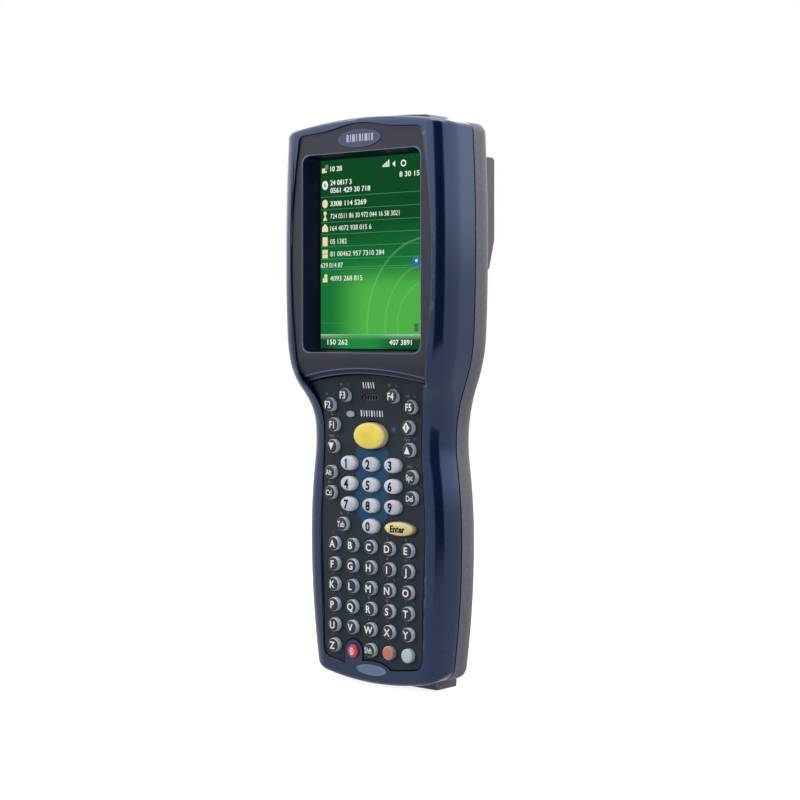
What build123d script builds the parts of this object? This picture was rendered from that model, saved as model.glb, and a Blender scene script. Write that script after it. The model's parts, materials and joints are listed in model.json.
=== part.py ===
from build123d import *
import os
from math import acos, asin, cos, degrees, radians, sin, sqrt

# Portable barcode data terminal, standing on its two feet. Millimetres.
# +X is to the user's right, -Y is the front (screen and keys), +Z is up.
# Origin: middle of the overall box, on the surface that the feet stand on.
# A "height" below is a distance from the Y = 0 plane towards the front.

# --- Keypad layout, seen from the front --------------------------------------
key_pitch_x = 9.08
key_pitch_z = 7.68
key_radius = 2.6
bottom_row_z = key_radius + 11.12
digit_pitch_x = 10.8
digit_half_width = 4.0
digit_half_height = 2.8
side_key_x = 20.0
arrow_key_x = 18.8
inner_side_key_x = 18.4
top_key_x = 11.9
tab_key_x = 13.8
enter_key_x = 14.2
enter_half_width = 7.3
enter_half_height = 2.65
scan_half_width = 7.8
scan_half_height = 5.4
arrow_key_lift = 6.0
inner_key_lift = 14.2
outer_key_lift = 21.8
top_key_lift = 25.6

# --- Keypad heights ----------------------------------------------------------
plate_setback = 0.3
plate_thickness = 2.0
plate_rise = 3.3
key_rise = 2.0
scan_key_rise = 2.4
outer_key_rise = 2.5
top_key_rise = 3.1
key_travel = 0.8
key_play = 0.15
key_base_margin = 0.45
key_base_thickness = 0.6
press_clearance = 0.2
mat_thickness = 1.0
keypad_board_thickness = 1.2

# --- Overall shape -----------------------------------------------------------
half_depth = 22.5
head_half_width = 42.0
head_side_radius = 660.0
shoulder_radius = 56.0
shoulder_turn = 2.9
waist_radius = 56.0
grip_upper_radius = 200.0
grip_lower_radius = 320.0
grip_edge_margin = 4.1
waist_edge_margin = 1.6
plate_belly = 0.85
grip_rim_width = 10.7
waist_rim_width = 8.8
head_drop = 7.5
seam_height = 6.3
rear_wall_height = -7.2
wall = 2.5
side_round = 8.5
rear_side_round = 9.0
end_round = 2.0
rear_end_round = 4.0
cavity_step_in = 2.5
cavity_step_up = 2.0
top_crown_radius = 215.0
bottom_crown_radius = 125.0
head_corner_width = 7.0
head_corner_height = 6.0
heel_corner_width = 12.0
heel_corner_height = 11.8
foot_height = 1.0

# --- Display -----------------------------------------------------------------
display_width = 53.64
display_height = 71.52
window_slope_x = 1.8
window_slope_z = 0.8
window_margin = 0.6
window_corner = 4.0
bezel_side_margin = 5.3
bezel_bulge = 4.3
bezel_top_margin = 7.5
bezel_bottom_margin = 7.8
bezel_crest = 3.1
bezel_step = 0.7
bezel_corner = 2.0
bezel_end_radius = 132.0
plate_end_gap = 0.1
well_depth = 6.8
touch_panel_thickness = 1.1
touch_panel_margin = 2.4
lcd_thickness = 4.4
lcd_margin_x = 2.5
lcd_margin_z = 4.1
gasket_thickness = 0.4
crown_above_bezel = 2.1

# --- Fits --------------------------------------------------------------------
trim_gap = 0.15
ledge = 0.8
seal_thickness = 0.6
seal_inset = 0.35
seal_width = 1.85

# --- Battery, rear and top ---------------------------------------------------
battery_half_width = 23.4
battery_length = 74.0
battery_depth = 11.0
battery_bottom_z = 30.0
battery_gap = 0.3
bay_wall = 1.5
latch_half_width = 8.7
latch_length = 7.0
latch_depth = 1.9
latch_travel = 3.0
latch_gap = 0.15
block_half_width = 28.5
block_top_margin = 13.5
block_length = 43.2
block_slope = 3.0
hood_half_width = 20.5
hood_rise = 1.8
hood_half_depth = 5.5
scan_window_half_width = 17.0
scan_window_half_depth = 3.2
scan_window_thickness = 1.6
foot_inner_x = 9.0
foot_outer_x = 22.6
foot_front_height = 4.3

# --- Screws ------------------------------------------------------------------
screw_shank_radius = 1.25
screw_head_radius = 2.6
screw_head_thickness = 1.8
screw_sink = 6.6
post_radius = 3.2
rear_post_radius = 4.0
mount_hole_radius = 1.25
mount_hole_depth = 8.0
mount_spacing_x = 36.0
mount_spacing_z = 20.0

# --- Badges, light, speaker --------------------------------------------------
badge_half_width = 10.4
badge_half_height = 3.3
lower_badge_half_width = 7.4
lower_badge_half_height = 2.0
badge_sink = 0.8
badge_proud = 0.3
light_half_width = 2.0
light_half_height = 1.15
grille_half_width = 4.2
grille_half_height = 1.5
speaker_radius = 4.5
speaker_thickness = 3.6

# --- Places worked out from the values above ---------------------------------
head_face = half_depth
keypad_lip = head_face - head_drop
bezel_face = head_face - bezel_step
plate_face = keypad_lip - plate_setback
plate_back = plate_face - plate_thickness
key_top = plate_face + key_rise
key_base_back = plate_back - key_base_thickness
mat_front = key_base_back - key_travel - press_clearance
mat_back = mat_front - mat_thickness
keypad_board_back = mat_back - keypad_board_thickness

glass_front = bezel_face - well_depth
bezel_back = glass_front + gasket_thickness
glass_back = glass_front - touch_panel_thickness
lcd_back = glass_back - lcd_thickness
head_ceiling = bezel_back - 1.8

seal_back = seam_height - seal_thickness
inner_rear = rear_wall_height + wall


def row_z(row):
    """Height of a key row, counted from the bottom row."""
    return bottom_row_z + row * key_pitch_z


def crown_drop(x, radius):
    """How far a crowned end falls back at a distance from the centre line."""
    return radius - sqrt(radius**2 - x**2)


digits_top_z = row_z(9)
waist_z = digits_top_z + 8.7
scan_key_z = digits_top_z + 10.6
bezel_bottom_z = digits_top_z + 33.7
window_half_width = display_width / 2 + window_margin
window_half_height = display_height / 2 + window_margin
display_z = bezel_bottom_z + bezel_bottom_margin + window_slope_z + window_half_height
window_top_z = display_z + window_half_height + window_slope_z
bezel_top_z = window_top_z + bezel_top_margin
crest_z = bezel_top_z + bezel_crest
top_z = crest_z + crown_above_bezel
badge_z = window_top_z + 4.9
lower_badge_z = foot_height + 5.3

bezel_half_width = window_half_width + window_slope_x + bezel_side_margin
plate_half_grip = 2 * key_pitch_x + key_radius + grip_edge_margin
plate_half_waist = side_key_x + key_radius + waist_edge_margin
grip_half_width = plate_half_grip + grip_rim_width
waist_half_width = plate_half_waist + waist_rim_width

rise_low_z = digits_top_z + 14
rise_high_z = bezel_bottom_z + 6.5
head_corner_x = head_half_width - head_corner_width
head_corner_z = top_z - crown_drop(head_corner_x, top_crown_radius)
shoulder_z = head_corner_z - head_corner_height
heel_corner_x = grip_half_width - heel_corner_width
heel_corner_z = foot_height + crown_drop(heel_corner_x, bottom_crown_radius)
heel_z = heel_corner_z + heel_corner_height

battery_top_z = battery_bottom_z + battery_length
block_top_z = top_z - block_top_margin
block_bottom_z = block_top_z - block_length
screw_seat = rear_wall_height + screw_sink
housing_screw_places = [
    (x_side * x, z)
    for x, z in (
        (head_half_width - 11.0, top_z - crown_drop(head_half_width - 11.0, top_crown_radius) - 4.25),
        (head_half_width - 8.5, bezel_bottom_z + 28.5),
        (plate_half_grip + post_radius, 15.0),
    )
    for x_side in (-1, 1)
]
block_screw_places = [
    (x_side * (block_half_width - 5), z)
    for z in (block_bottom_z + 6.5, block_top_z - 5.5)
    for x_side in (-1, 1)
]
mount_z = (block_bottom_z + block_top_z) / 2 + 3.5

panel_half_width = display_width / 2 + touch_panel_margin
panel_half_height = display_height / 2 + touch_panel_margin
lcd_half_width = display_width / 2 + lcd_margin_x
lcd_half_height = display_height / 2 + lcd_margin_z
main_board_thickness = 1.6
main_board_back = lcd_back - 0.3 - main_board_thickness
main_board_half_width = 27.0
main_board_low_z = bezel_bottom_z + 1.0
main_board_high_z = display_z + lcd_half_height
screw_reach = mat_front + 0.8
bay_half_width = battery_half_width + battery_gap
bay_length = battery_length + 2 * battery_gap
bay_floor = rear_wall_height + battery_depth + battery_gap
battery_middle_z = battery_bottom_z + battery_length / 2
latch_rest_z = battery_top_z + battery_gap + 1.6 + latch_length / 2
latch_z = latch_rest_z + latch_travel / 2
contacts_z = battery_top_z - 6
contacts_half_width = 6.0
contacts_half_height = 2.5
block_screw_sink = 4.0
block_screw_reach = inner_rear + 3
scan_window_z = top_z + hood_rise - 3.4
scan_window_y = 0.0
scan_engine_top_z = top_z - wall - 3.5
dock_y = 0.6
dock_half_width = 7.0
dock_half_depth = 2.6
screw_thread_gap = 0.04


def front_plane(height):
    """Plane that looks out of the front, at a height towards the user."""
    return Plane.XZ.offset(height)


# --- Outlines ----------------------------------------------------------------
def housing_sides(inset=0.0):
    """Face between the two sides: full grip, narrow waist and wide head in tangent arcs."""
    waist_turn = acos(1 - (grip_half_width - waist_half_width) / (grip_upper_radius + waist_radius))
    turn_left = radians(shoulder_turn)
    neck_reach = shoulder_radius * cos(turn_left) + head_side_radius * (1 - cos(turn_left))
    neck_turn = acos(
        (waist_radius + neck_reach - head_half_width + waist_half_width) / (waist_radius + shoulder_radius)
    )
    belly = (grip_half_width - inset, waist_z - (grip_upper_radius + waist_radius) * sin(waist_turn))
    past_end = 11
    past_top = 7.5
    with BuildSketch() as sides:
        with BuildLine():
            lower_grip = JernArc(belly, (0, -1), grip_lower_radius - inset, -past_end)
            upper_grip = JernArc(belly, (0, 1), grip_upper_radius - inset, degrees(waist_turn))
            waist = JernArc(
                upper_grip @ 1, upper_grip % 1, waist_radius + inset, -degrees(waist_turn + neck_turn)
            )
            shoulder = JernArc(
                waist @ 1, waist % 1, shoulder_radius - inset, degrees(neck_turn) - shoulder_turn
            )
            head = JernArc(shoulder @ 1, shoulder % 1, head_side_radius - inset, past_top)
            mirror(about=Plane.YZ)
            for end in (lower_grip @ 1, head @ 1):
                Line((end.X, end.Y), (-end.X, end.Y))
        make_face()
    return sides.sketch


def housing_ends(inset=0.0):
    """Face with crowned ends and soft corners, running clear of both sides."""
    top_corner = (head_corner_x, head_corner_z - inset)
    top_angle = asin(head_corner_x / top_crown_radius)
    shoulder = (head_half_width + 0.2 - inset, shoulder_z)
    low_corner = (heel_corner_x, heel_corner_z + inset)
    low_angle = asin(heel_corner_x / bottom_crown_radius)
    heel = (grip_half_width - 1.8 - inset, heel_z)
    clear = 6
    with BuildSketch() as ends:
        with BuildLine():
            Spline(top_corner, shoulder, tangents=((cos(top_angle), -sin(top_angle)), (0, -1)))
            Polyline(
                shoulder,
                (head_half_width + clear, bezel_bottom_z),
                (grip_half_width + clear, row_z(5)),
                heel,
            )
            Spline(heel, low_corner, tangents=((0, -1), (-cos(low_angle), -sin(low_angle))))
            mirror(about=Plane.YZ)
            ThreePointArc((-top_corner[0], top_corner[1]), (0, top_z - inset), top_corner)
            ThreePointArc((-low_corner[0], low_corner[1]), (0, foot_height + inset), low_corner)
        make_face()
    return ends.sketch


def housing_outline(inset=0.0):
    """Whole outline of the housings, drawn in by an inset."""
    with BuildSketch() as outline:
        add(housing_sides(inset))
        add(housing_ends(inset), mode=Mode.INTERSECT)
    return outline.sketch


def bezel_outline(grow=0.0):
    """Barrel-sided outline of the display bezel, with a crest over the badge."""
    half_top = bezel_half_width - bezel_bulge + grow
    middle_z = (bezel_top_z + bezel_bottom_z) / 2
    low_z = bezel_bottom_z - crown_drop(half_top, bezel_end_radius) - grow
    high_z = bezel_top_z + grow
    side_top = (half_top, high_z - bezel_corner)
    corner_end = (half_top - bezel_corner, high_z + 0.1)
    with BuildSketch() as outline:
        with BuildLine():
            ThreePointArc((half_top, low_z), (bezel_half_width + grow, middle_z), side_top)
            Spline(side_top, corner_end, tangents=((-0.15, 1), (-1, 0.06)))
            Spline(
                corner_end,
                (badge_half_width + 3.2, high_z + 1.3),
                (0, crest_z + grow),
                tangents=((-1, 0.06), (-1, 0)),
            )
            mirror(about=Plane.YZ)
            ThreePointArc((-half_top, low_z), (0, bezel_bottom_z - grow), (half_top, low_z))
        make_face()
    return outline.sketch


def bezel_profile():
    """Side view of the bezel, flat beside the window, rolling down at its lower end."""
    roll_start = (-bezel_face, bezel_bottom_z + bezel_bottom_margin - 1.2)
    roll_end = (-bezel_back - 1.2, bezel_bottom_z - 4)
    with BuildSketch() as profile:
        with BuildLine():
            Polyline(roll_end, (0, bezel_bottom_z - 4), (0, top_z), (-bezel_face, top_z), roll_start)
            Spline(roll_start, roll_end, tangents=((0, -1), (0.85, -0.5)))
        make_face()
    return profile.sketch


def plate_outline(grow=0.0):
    """Keypad plate: widens towards the head, rises over the lower badge."""
    top_half = bezel_half_width - bezel_bulge - 0.7 + grow
    top_middle_z = bezel_bottom_z - plate_end_gap + grow
    top_side_z = top_middle_z - crown_drop(top_half, bezel_end_radius)
    corner = 4.0
    waist_side = (plate_half_waist + grow, waist_z)
    side_low = (plate_half_grip - 0.4 + grow, bottom_row_z + 0.5)
    bottom_side = (plate_half_grip - corner + grow, bottom_row_z - 5.1 - grow)
    with BuildSketch() as outline:
        with BuildLine():
            Spline(
                (top_half, top_side_z),
                (plate_half_waist + 1.3 + grow, digits_top_z + 21.5),
                waist_side,
                tangents=((-0.6, -1), (0, -1)),
            )
            Spline(
                waist_side,
                (plate_half_grip + plate_belly + grow, row_z(6)),
                (plate_half_grip + grow, row_z(3)),
                side_low,
                tangents=((0, -1), (-0.02, -1)),
            )
            Spline(side_low, bottom_side, tangents=((-0.02, -1), (-1, -0.12)))
            mirror(about=Plane.YZ)
            ThreePointArc((-bottom_side[0], bottom_side[1]), (0, bottom_row_z - 7.0 - grow), bottom_side)
            ThreePointArc((-top_half, top_side_z), (0, top_middle_z), (top_half, top_side_z))
        make_face()
        with Locations((0, lower_badge_z)):
            Ellipse(
                lower_badge_half_width + 1.9 - grow,
                lower_badge_half_height + 1.3 - grow,
                mode=Mode.SUBTRACT,
            )
    return outline.sketch


power_key_place = (-key_pitch_x, bottom_row_z - 1.4)
power_collar_radius = key_radius + 1.7


def power_collar(grow=0.0):
    """Tongue of the front housing that reaches up round the power key."""
    x, z = power_key_place
    with BuildSketch() as collar:
        with Locations(power_key_place):
            Circle(power_collar_radius + grow)
        with Locations((x, (z + foot_height) / 2)):
            Rectangle(2 * (power_collar_radius + grow), z - foot_height)
    return collar.sketch


def side_profile(top_height, low_height):
    """Side view in front of the Y = 0 plane: low over the keypad, proud over the display."""
    low_end = (-low_height, rise_low_z)
    high_end = (-top_height, rise_high_z)
    middle = ((low_end[0] + high_end[0]) / 2, (low_end[1] + high_end[1]) / 2)
    floor_z = -10
    roof_z = top_z + 10
    with BuildSketch() as profile:
        with BuildLine():
            Polyline(low_end, (-low_height, floor_z), (0, floor_z), (0, roof_z), (-top_height, roof_z), high_end)
            TangentArc(low_end, middle, tangent=(0, 1))
            TangentArc(high_end, middle, tangent=(0, -1))
        make_face()
    return profile.sketch


# --- Key list: name, places, half width, half height, rise above the plate ---
round_key = (key_radius, key_radius, key_rise)
outer_key = (key_radius, key_radius, outer_key_rise)
top_key = (key_radius, key_radius, top_key_rise)
digit_key = (digit_half_width, digit_half_height, key_rise)
column_x = [(column - 2) * key_pitch_x for column in range(5)]
single_keys = {
    "scan_key": ((0, scan_key_z), (scan_half_width, scan_half_height, scan_key_rise)),
    "enter_key": ((enter_key_x, row_z(6)), (enter_half_width, enter_half_height, key_rise)),
    "power_key": (power_key_place, (key_radius, key_radius, keypad_lip - plate_face + key_travel)),
    "shift_key": ((0, bottom_row_z), round_key),
    "orange_key": ((key_pitch_x, bottom_row_z), round_key),
    "blue_key": ((2 * key_pitch_x, bottom_row_z), round_key),
    "tab_key": ((-tab_key_x, row_z(6)), round_key),
    "alt_key": ((-side_key_x, row_z(8.5)), round_key),
    "space_key": ((side_key_x, row_z(8.5)), round_key),
    "control_key": ((-side_key_x, row_z(7.5)), round_key),
    "delete_key": ((side_key_x, row_z(7.5)), round_key),
    "down_key": ((-arrow_key_x, digits_top_z + arrow_key_lift), round_key),
    "up_key": ((arrow_key_x, digits_top_z + arrow_key_lift), round_key),
    "f1_key": ((-inner_side_key_x, digits_top_z + inner_key_lift), round_key),
    "diamond_key": ((inner_side_key_x, digits_top_z + inner_key_lift), round_key),
    "f2_key": ((-side_key_x, digits_top_z + outer_key_lift), outer_key),
    "f3_key": ((-top_key_x, digits_top_z + top_key_lift), top_key),
    "f4_key": ((top_key_x, digits_top_z + top_key_lift), top_key),
    "f5_key": ((side_key_x, digits_top_z + outer_key_lift), outer_key),
    "digit_0_key": ((0, row_z(6)), digit_key),
}
for digit in range(1, 10):
    digit_place = ((digit - 1) % 3 * digit_pitch_x - digit_pitch_x, row_z(9 - (digit - 1) // 3))
    single_keys[f"digit_{digit}_key"] = (digit_place, digit_key)
letter_rows = {
    "letter_keys_a_to_e": [(x, row_z(5)) for x in column_x],
    "letter_keys_f_to_j": [(x, row_z(4)) for x in column_x],
    "letter_keys_k_to_o": [(x, row_z(3)) for x in column_x],
    "letter_keys_p_to_t": [(x, row_z(2)) for x in column_x],
    "letter_keys_u_to_y": [(x, row_z(1)) for x in column_x],
    "letter_key_z": [(column_x[0], bottom_row_z)],
}
light_place = (-10.3, digits_top_z + 18.4)
grille_place = (0, digits_top_z + 24.8)

os.makedirs("parts", exist_ok=True)


def save(sub_part, label):
    """Label a finished piece and write it to its own file."""
    sub_part.part.label = label
    export_step(sub_part.part, f"parts/{label}.step")


# --- Front housing -----------------------------------------------------------
with BuildPart() as front_housing:
    with BuildSketch(front_plane(seam_height)):
        add(housing_sides())
    extrude(amount=head_face - seam_height)
    with BuildSketch(Plane.YZ):
        add(side_profile(head_face, keypad_lip))
    extrude(amount=head_half_width + 10, both=True, mode=Mode.INTERSECT)
    front_side_edges = front_housing.edges().filter_by(Axis.Y, reverse=True).filter_by(
        lambda edge: abs(edge.center().X) > plate_half_waist and edge.center().Y < -seam_height - 0.1
    )
    fillet(front_side_edges, side_round)
    with BuildSketch(front_plane(seam_height)):
        add(housing_ends())
    extrude(amount=head_face, mode=Mode.INTERSECT)
    front_end_edges = front_housing.edges().filter_by(
        lambda edge: edge.center().Y < -seam_height - 4.5
        and (edge.center().Z > shoulder_z or edge.center().Z < heel_z)
    )
    fillet(front_end_edges, end_round)
    # Hollow behind the face, low over the keypad and high over the display
    with BuildSketch(front_plane(0)):
        add(housing_outline(wall))
    cavity = extrude(amount=head_ceiling, mode=Mode.PRIVATE)
    with BuildSketch(Plane.YZ):
        add(side_profile(head_ceiling, mat_front))
    cavity_profile = extrude(amount=head_half_width, both=True, mode=Mode.PRIVATE)
    add(cavity & cavity_profile, mode=Mode.SUBTRACT)
    # Screw bosses, each up to the face above it
    with BuildSketch(front_plane(seam_height)):
        with Locations(*housing_screw_places):
            Circle(post_radius)
        add(housing_outline(wall / 2), mode=Mode.INTERSECT)
    bosses = extrude(amount=head_face - seam_height, mode=Mode.PRIVATE)
    add(bosses & (cavity & cavity_profile))
    with BuildSketch(front_plane(seam_height)):
        with Locations(*housing_screw_places):
            Circle(screw_shank_radius + screw_thread_gap)
    extrude(amount=screw_reach + 0.3 - seam_height, mode=Mode.SUBTRACT)
    # Seats and openings for the bezel and the keypad plate
    with BuildSketch(front_plane(bezel_back)):
        add(bezel_outline(trim_gap))
    extrude(amount=head_face, mode=Mode.SUBTRACT)
    with BuildSketch(front_plane(seam_height)):
        add(bezel_outline(-ledge))
        with Locations((0, display_z)):
            Rectangle(2 * head_half_width, 2 * lcd_half_height + 1, mode=Mode.INTERSECT)
    extrude(amount=head_face, mode=Mode.SUBTRACT)
    with BuildSketch(front_plane(plate_back)):
        add(plate_outline(trim_gap))
        add(power_collar(), mode=Mode.SUBTRACT)
    extrude(amount=head_face, mode=Mode.SUBTRACT)
    with BuildSketch(front_plane(seam_height)):
        add(plate_outline(-ledge))
    extrude(amount=plate_back - seam_height, mode=Mode.SUBTRACT)
    with BuildSketch(front_plane(seam_height)):
        with Locations(power_key_place):
            Rectangle(2 * (key_radius + key_base_margin + key_play), 2 * (key_radius + key_base_margin + key_play))
    extrude(amount=plate_back - seam_height, mode=Mode.SUBTRACT)
    with BuildSketch(front_plane(seam_height)):
        with Locations(power_key_place):
            Circle(key_radius + key_play)
    extrude(amount=head_face, mode=Mode.SUBTRACT)
    with BuildSketch(front_plane(keypad_lip - badge_sink)):
        with Locations((0, lower_badge_z)):
            Ellipse(lower_badge_half_width + trim_gap, lower_badge_half_height + trim_gap)
    extrude(amount=badge_sink + 1, mode=Mode.SUBTRACT)

save(front_housing, "front_housing")

# --- Display bezel -----------------------------------------------------------
with BuildPart() as display_bezel:
    with BuildSketch(front_plane(bezel_back)):
        add(bezel_outline())
    extrude(amount=bezel_face - bezel_back)
    # The lower end rolls down towards the keypad
    with BuildSketch(Plane.YZ):
        add(bezel_profile())
    extrude(amount=head_half_width, both=True, mode=Mode.INTERSECT)
    # Window with sloping walls
    with BuildSketch(front_plane(bezel_back)):
        with Locations((0, display_z)):
            RectangleRounded(2 * window_half_width, 2 * window_half_height, window_corner / 2)
    with BuildSketch(front_plane(bezel_face)):
        with Locations((0, display_z)):
            RectangleRounded(
                2 * (window_half_width + window_slope_x),
                2 * (window_half_height + window_slope_z),
                window_corner,
            )
    loft(mode=Mode.SUBTRACT)
    with BuildSketch(front_plane(bezel_face - badge_sink)):
        with Locations((0, badge_z)):
            Ellipse(badge_half_width + trim_gap, badge_half_height + trim_gap)
    extrude(amount=badge_sink + 1, mode=Mode.SUBTRACT)

save(display_bezel, "display_bezel")

# --- Display stack -----------------------------------------------------------
with BuildPart() as lcd_gasket:
    with BuildSketch(front_plane(glass_front)):
        with Locations((0, display_z)):
            Rectangle(2 * panel_half_width, 2 * panel_half_height)
            Rectangle(2 * (window_half_width + 0.4), 2 * (window_half_height + 0.4), mode=Mode.SUBTRACT)
    extrude(amount=gasket_thickness)

save(lcd_gasket, "lcd_gasket")

with BuildPart() as touch_panel:
    with BuildSketch(front_plane(glass_back)):
        with Locations((0, display_z)):
            Rectangle(2 * panel_half_width, 2 * panel_half_height)
    extrude(amount=touch_panel_thickness)

save(touch_panel, "touch_panel")

with BuildPart() as lcd_module:
    with BuildSketch(front_plane(lcd_back)):
        with Locations((0, display_z)):
            Rectangle(2 * lcd_half_width, 2 * lcd_half_height)
    extrude(amount=lcd_thickness)
    # Metal tray edge round the back light
    with BuildSketch(front_plane(lcd_back)):
        with Locations((0, display_z)):
            Rectangle(2 * (lcd_half_width - 1.5), 2 * (lcd_half_height - 1.5))
    extrude(amount=0.5, mode=Mode.SUBTRACT)

save(lcd_module, "lcd_module")

# --- Boards and key mat ------------------------------------------------------
with BuildPart() as main_board:
    with BuildSketch(front_plane(main_board_back)):
        with Locations((0, (main_board_low_z + main_board_high_z) / 2)):
            Rectangle(2 * main_board_half_width, main_board_high_z - main_board_low_z)
    extrude(amount=main_board_thickness)
    # Processor, memory and radio cans on the rear side
    with BuildSketch(front_plane(main_board_back)):
        with Locations((0, display_z + 10)):
            Rectangle(16, 16)
        with Locations((-17, display_z - 18), (17, display_z - 18)):
            Rectangle(10, 14)
    extrude(amount=-1.6)

save(main_board, "main_board")

with BuildPart() as key_mat:
    with BuildSketch(front_plane(mat_back)):
        add(plate_outline(-trim_gap))
        with Locations(grille_place):
            Circle(speaker_radius + 0.3, mode=Mode.SUBTRACT)
    extrude(amount=mat_thickness)

save(key_mat, "key_mat")

with BuildPart() as keypad_board:
    with BuildSketch(front_plane(keypad_board_back)):
        add(plate_outline(-trim_gap))
        with Locations(grille_place):
            Circle(speaker_radius + 0.3, mode=Mode.SUBTRACT)
    extrude(amount=keypad_board_thickness)

save(keypad_board, "keypad_board")

# --- Keypad plate ------------------------------------------------------------
with BuildPart() as keypad_plate:
    with BuildSketch(front_plane(plate_back)):
        add(plate_outline())
        add(power_collar(trim_gap), mode=Mode.SUBTRACT)
    extrude(amount=plate_thickness + plate_rise)
    # The face rises towards the display
    with BuildSketch(Plane.YZ):
        add(side_profile(plate_face + plate_rise, plate_face))
    extrude(amount=head_half_width, both=True, mode=Mode.INTERSECT)
    with BuildSketch(front_plane(plate_back)):
        for label, (place, (half_width, half_height, rise)) in single_keys.items():
            if label != "power_key":
                with Locations(place):
                    Ellipse(half_width + key_play, half_height + key_play)
        for places in letter_rows.values():
            with Locations(*places):
                Circle(key_radius + key_play)
        with Locations(light_place):
            Ellipse(light_half_width + trim_gap / 2, light_half_height + trim_gap / 2)
        with Locations(grille_place):
            Ellipse(grille_half_width + trim_gap / 2, grille_half_height + trim_gap / 2)
    extrude(amount=plate_thickness + plate_rise, mode=Mode.SUBTRACT)

save(keypad_plate, "keypad_plate")


# --- Keys --------------------------------------------------------------------
def key_solid(half_width, half_height, rise):
    """One key on the origin: a cap that passes through the plate, on a base that stops behind it."""
    base_half_width = half_width + key_base_margin
    base_half_height = min(half_height + key_base_margin, key_pitch_z / 2 - 0.1)
    with BuildPart() as key:
        with BuildSketch(front_plane(key_base_back)):
            Rectangle(2 * base_half_width, 2 * base_half_height)
        extrude(amount=key_base_thickness)
        with BuildSketch(front_plane(plate_back)):
            Ellipse(half_width, half_height)
        extrude(amount=plate_thickness + rise)
    return key.part


for label, (place, (half_width, half_height, rise)) in single_keys.items():
    with BuildPart() as single_key:
        with Locations((place[0], 0, place[1])):
            add(key_solid(half_width, half_height, rise))
    save(single_key, label)

for label, places in letter_rows.items():
    with BuildPart() as letter_keys:
        with Locations(*[(x, 0, z) for x, z in places]):
            add(key_solid(key_radius, key_radius, key_rise))
    save(letter_keys, label)

# --- Trim on the front -------------------------------------------------------
with BuildPart() as upper_badge:
    with BuildSketch(front_plane(bezel_face - badge_sink)):
        with Locations((0, badge_z)):
            Ellipse(badge_half_width, badge_half_height)
    extrude(amount=badge_sink + badge_proud)

save(upper_badge, "upper_badge")

with BuildPart() as lower_badge:
    with BuildSketch(front_plane(keypad_lip - badge_sink)):
        with Locations((0, lower_badge_z)):
            Ellipse(lower_badge_half_width, lower_badge_half_height)
    extrude(amount=badge_sink + badge_proud)

save(lower_badge, "lower_badge")

with BuildPart() as status_light_lens:
    with BuildSketch(front_plane(mat_front + 0.1)):
        with Locations(light_place):
            Ellipse(light_half_width, light_half_height)
    extrude(amount=plate_face + 0.8 - mat_front - 0.1)

save(status_light_lens, "status_light_lens")

with BuildPart() as speaker_grille:
    with BuildSketch(front_plane(plate_back)):
        with Locations(grille_place):
            Ellipse(grille_half_width, grille_half_height)
    extrude(amount=plate_thickness + 0.7)
    with BuildSketch(front_plane(plate_back)):
        with Locations(grille_place):
            with GridLocations(1.3, 0, 5, 1):
                SlotOverall(1.6, 0.7, rotation=90)
    extrude(amount=plate_thickness + plate_rise, mode=Mode.SUBTRACT)

save(speaker_grille, "speaker_grille")

with BuildPart() as speaker:
    with BuildSketch(front_plane(plate_back - 0.1 - speaker_thickness)):
        with Locations(grille_place):
            Circle(speaker_radius)
    extrude(amount=speaker_thickness)
    with BuildSketch(front_plane(plate_back - 0.1 - speaker_thickness)):
        with Locations(grille_place):
            Circle(speaker_radius - 1.5)
    extrude(amount=0.6, mode=Mode.SUBTRACT)

save(speaker, "speaker")

# --- Seal between the housings -----------------------------------------------
with BuildPart() as seal_gasket:
    with BuildSketch(front_plane(seal_back)):
        add(housing_outline(seal_inset))
        add(housing_outline(seal_inset + seal_width), mode=Mode.SUBTRACT)
    extrude(amount=seal_thickness)

save(seal_gasket, "seal_gasket")


# --- Rear housing ------------------------------------------------------------
def foot_profile():
    """Side view of a foot: slanted front, flat sole, steep back."""
    with BuildSketch() as profile:
        with BuildLine():
            Polyline(
                (-seal_back, foot_height + 5),
                (-seal_back, foot_height + 2.2),
                (-foot_front_height, 0),
                (-rear_wall_height - 0.4, 0),
                (-rear_wall_height, foot_height),
                (-rear_wall_height, foot_height + 5.5),
                (-rear_wall_height - 5, foot_height + 8),
                (-seal_back, foot_height + 5),
            )
        make_face()
    return profile.sketch


def hood_outline():
    """Crowned hood over the scan window, seen from the front."""
    hood_top = top_z + hood_rise
    side_top = hood_top - crown_drop(hood_half_width, top_crown_radius)
    with BuildSketch() as outline:
        with BuildLine():
            Polyline(
                (-hood_half_width, side_top - 1),
                (-hood_half_width, top_z - 8),
                (hood_half_width, top_z - 8),
                (hood_half_width, side_top - 1),
            )
            Line((hood_half_width, side_top - 1), (hood_half_width - 2, side_top + 0.2))
            ThreePointArc((hood_half_width - 2, side_top + 0.2), (0, hood_top), (2 - hood_half_width, side_top + 0.2))
            Line((2 - hood_half_width, side_top + 0.2), (-hood_half_width, side_top - 1))
        make_face()
    return outline.sketch


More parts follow.
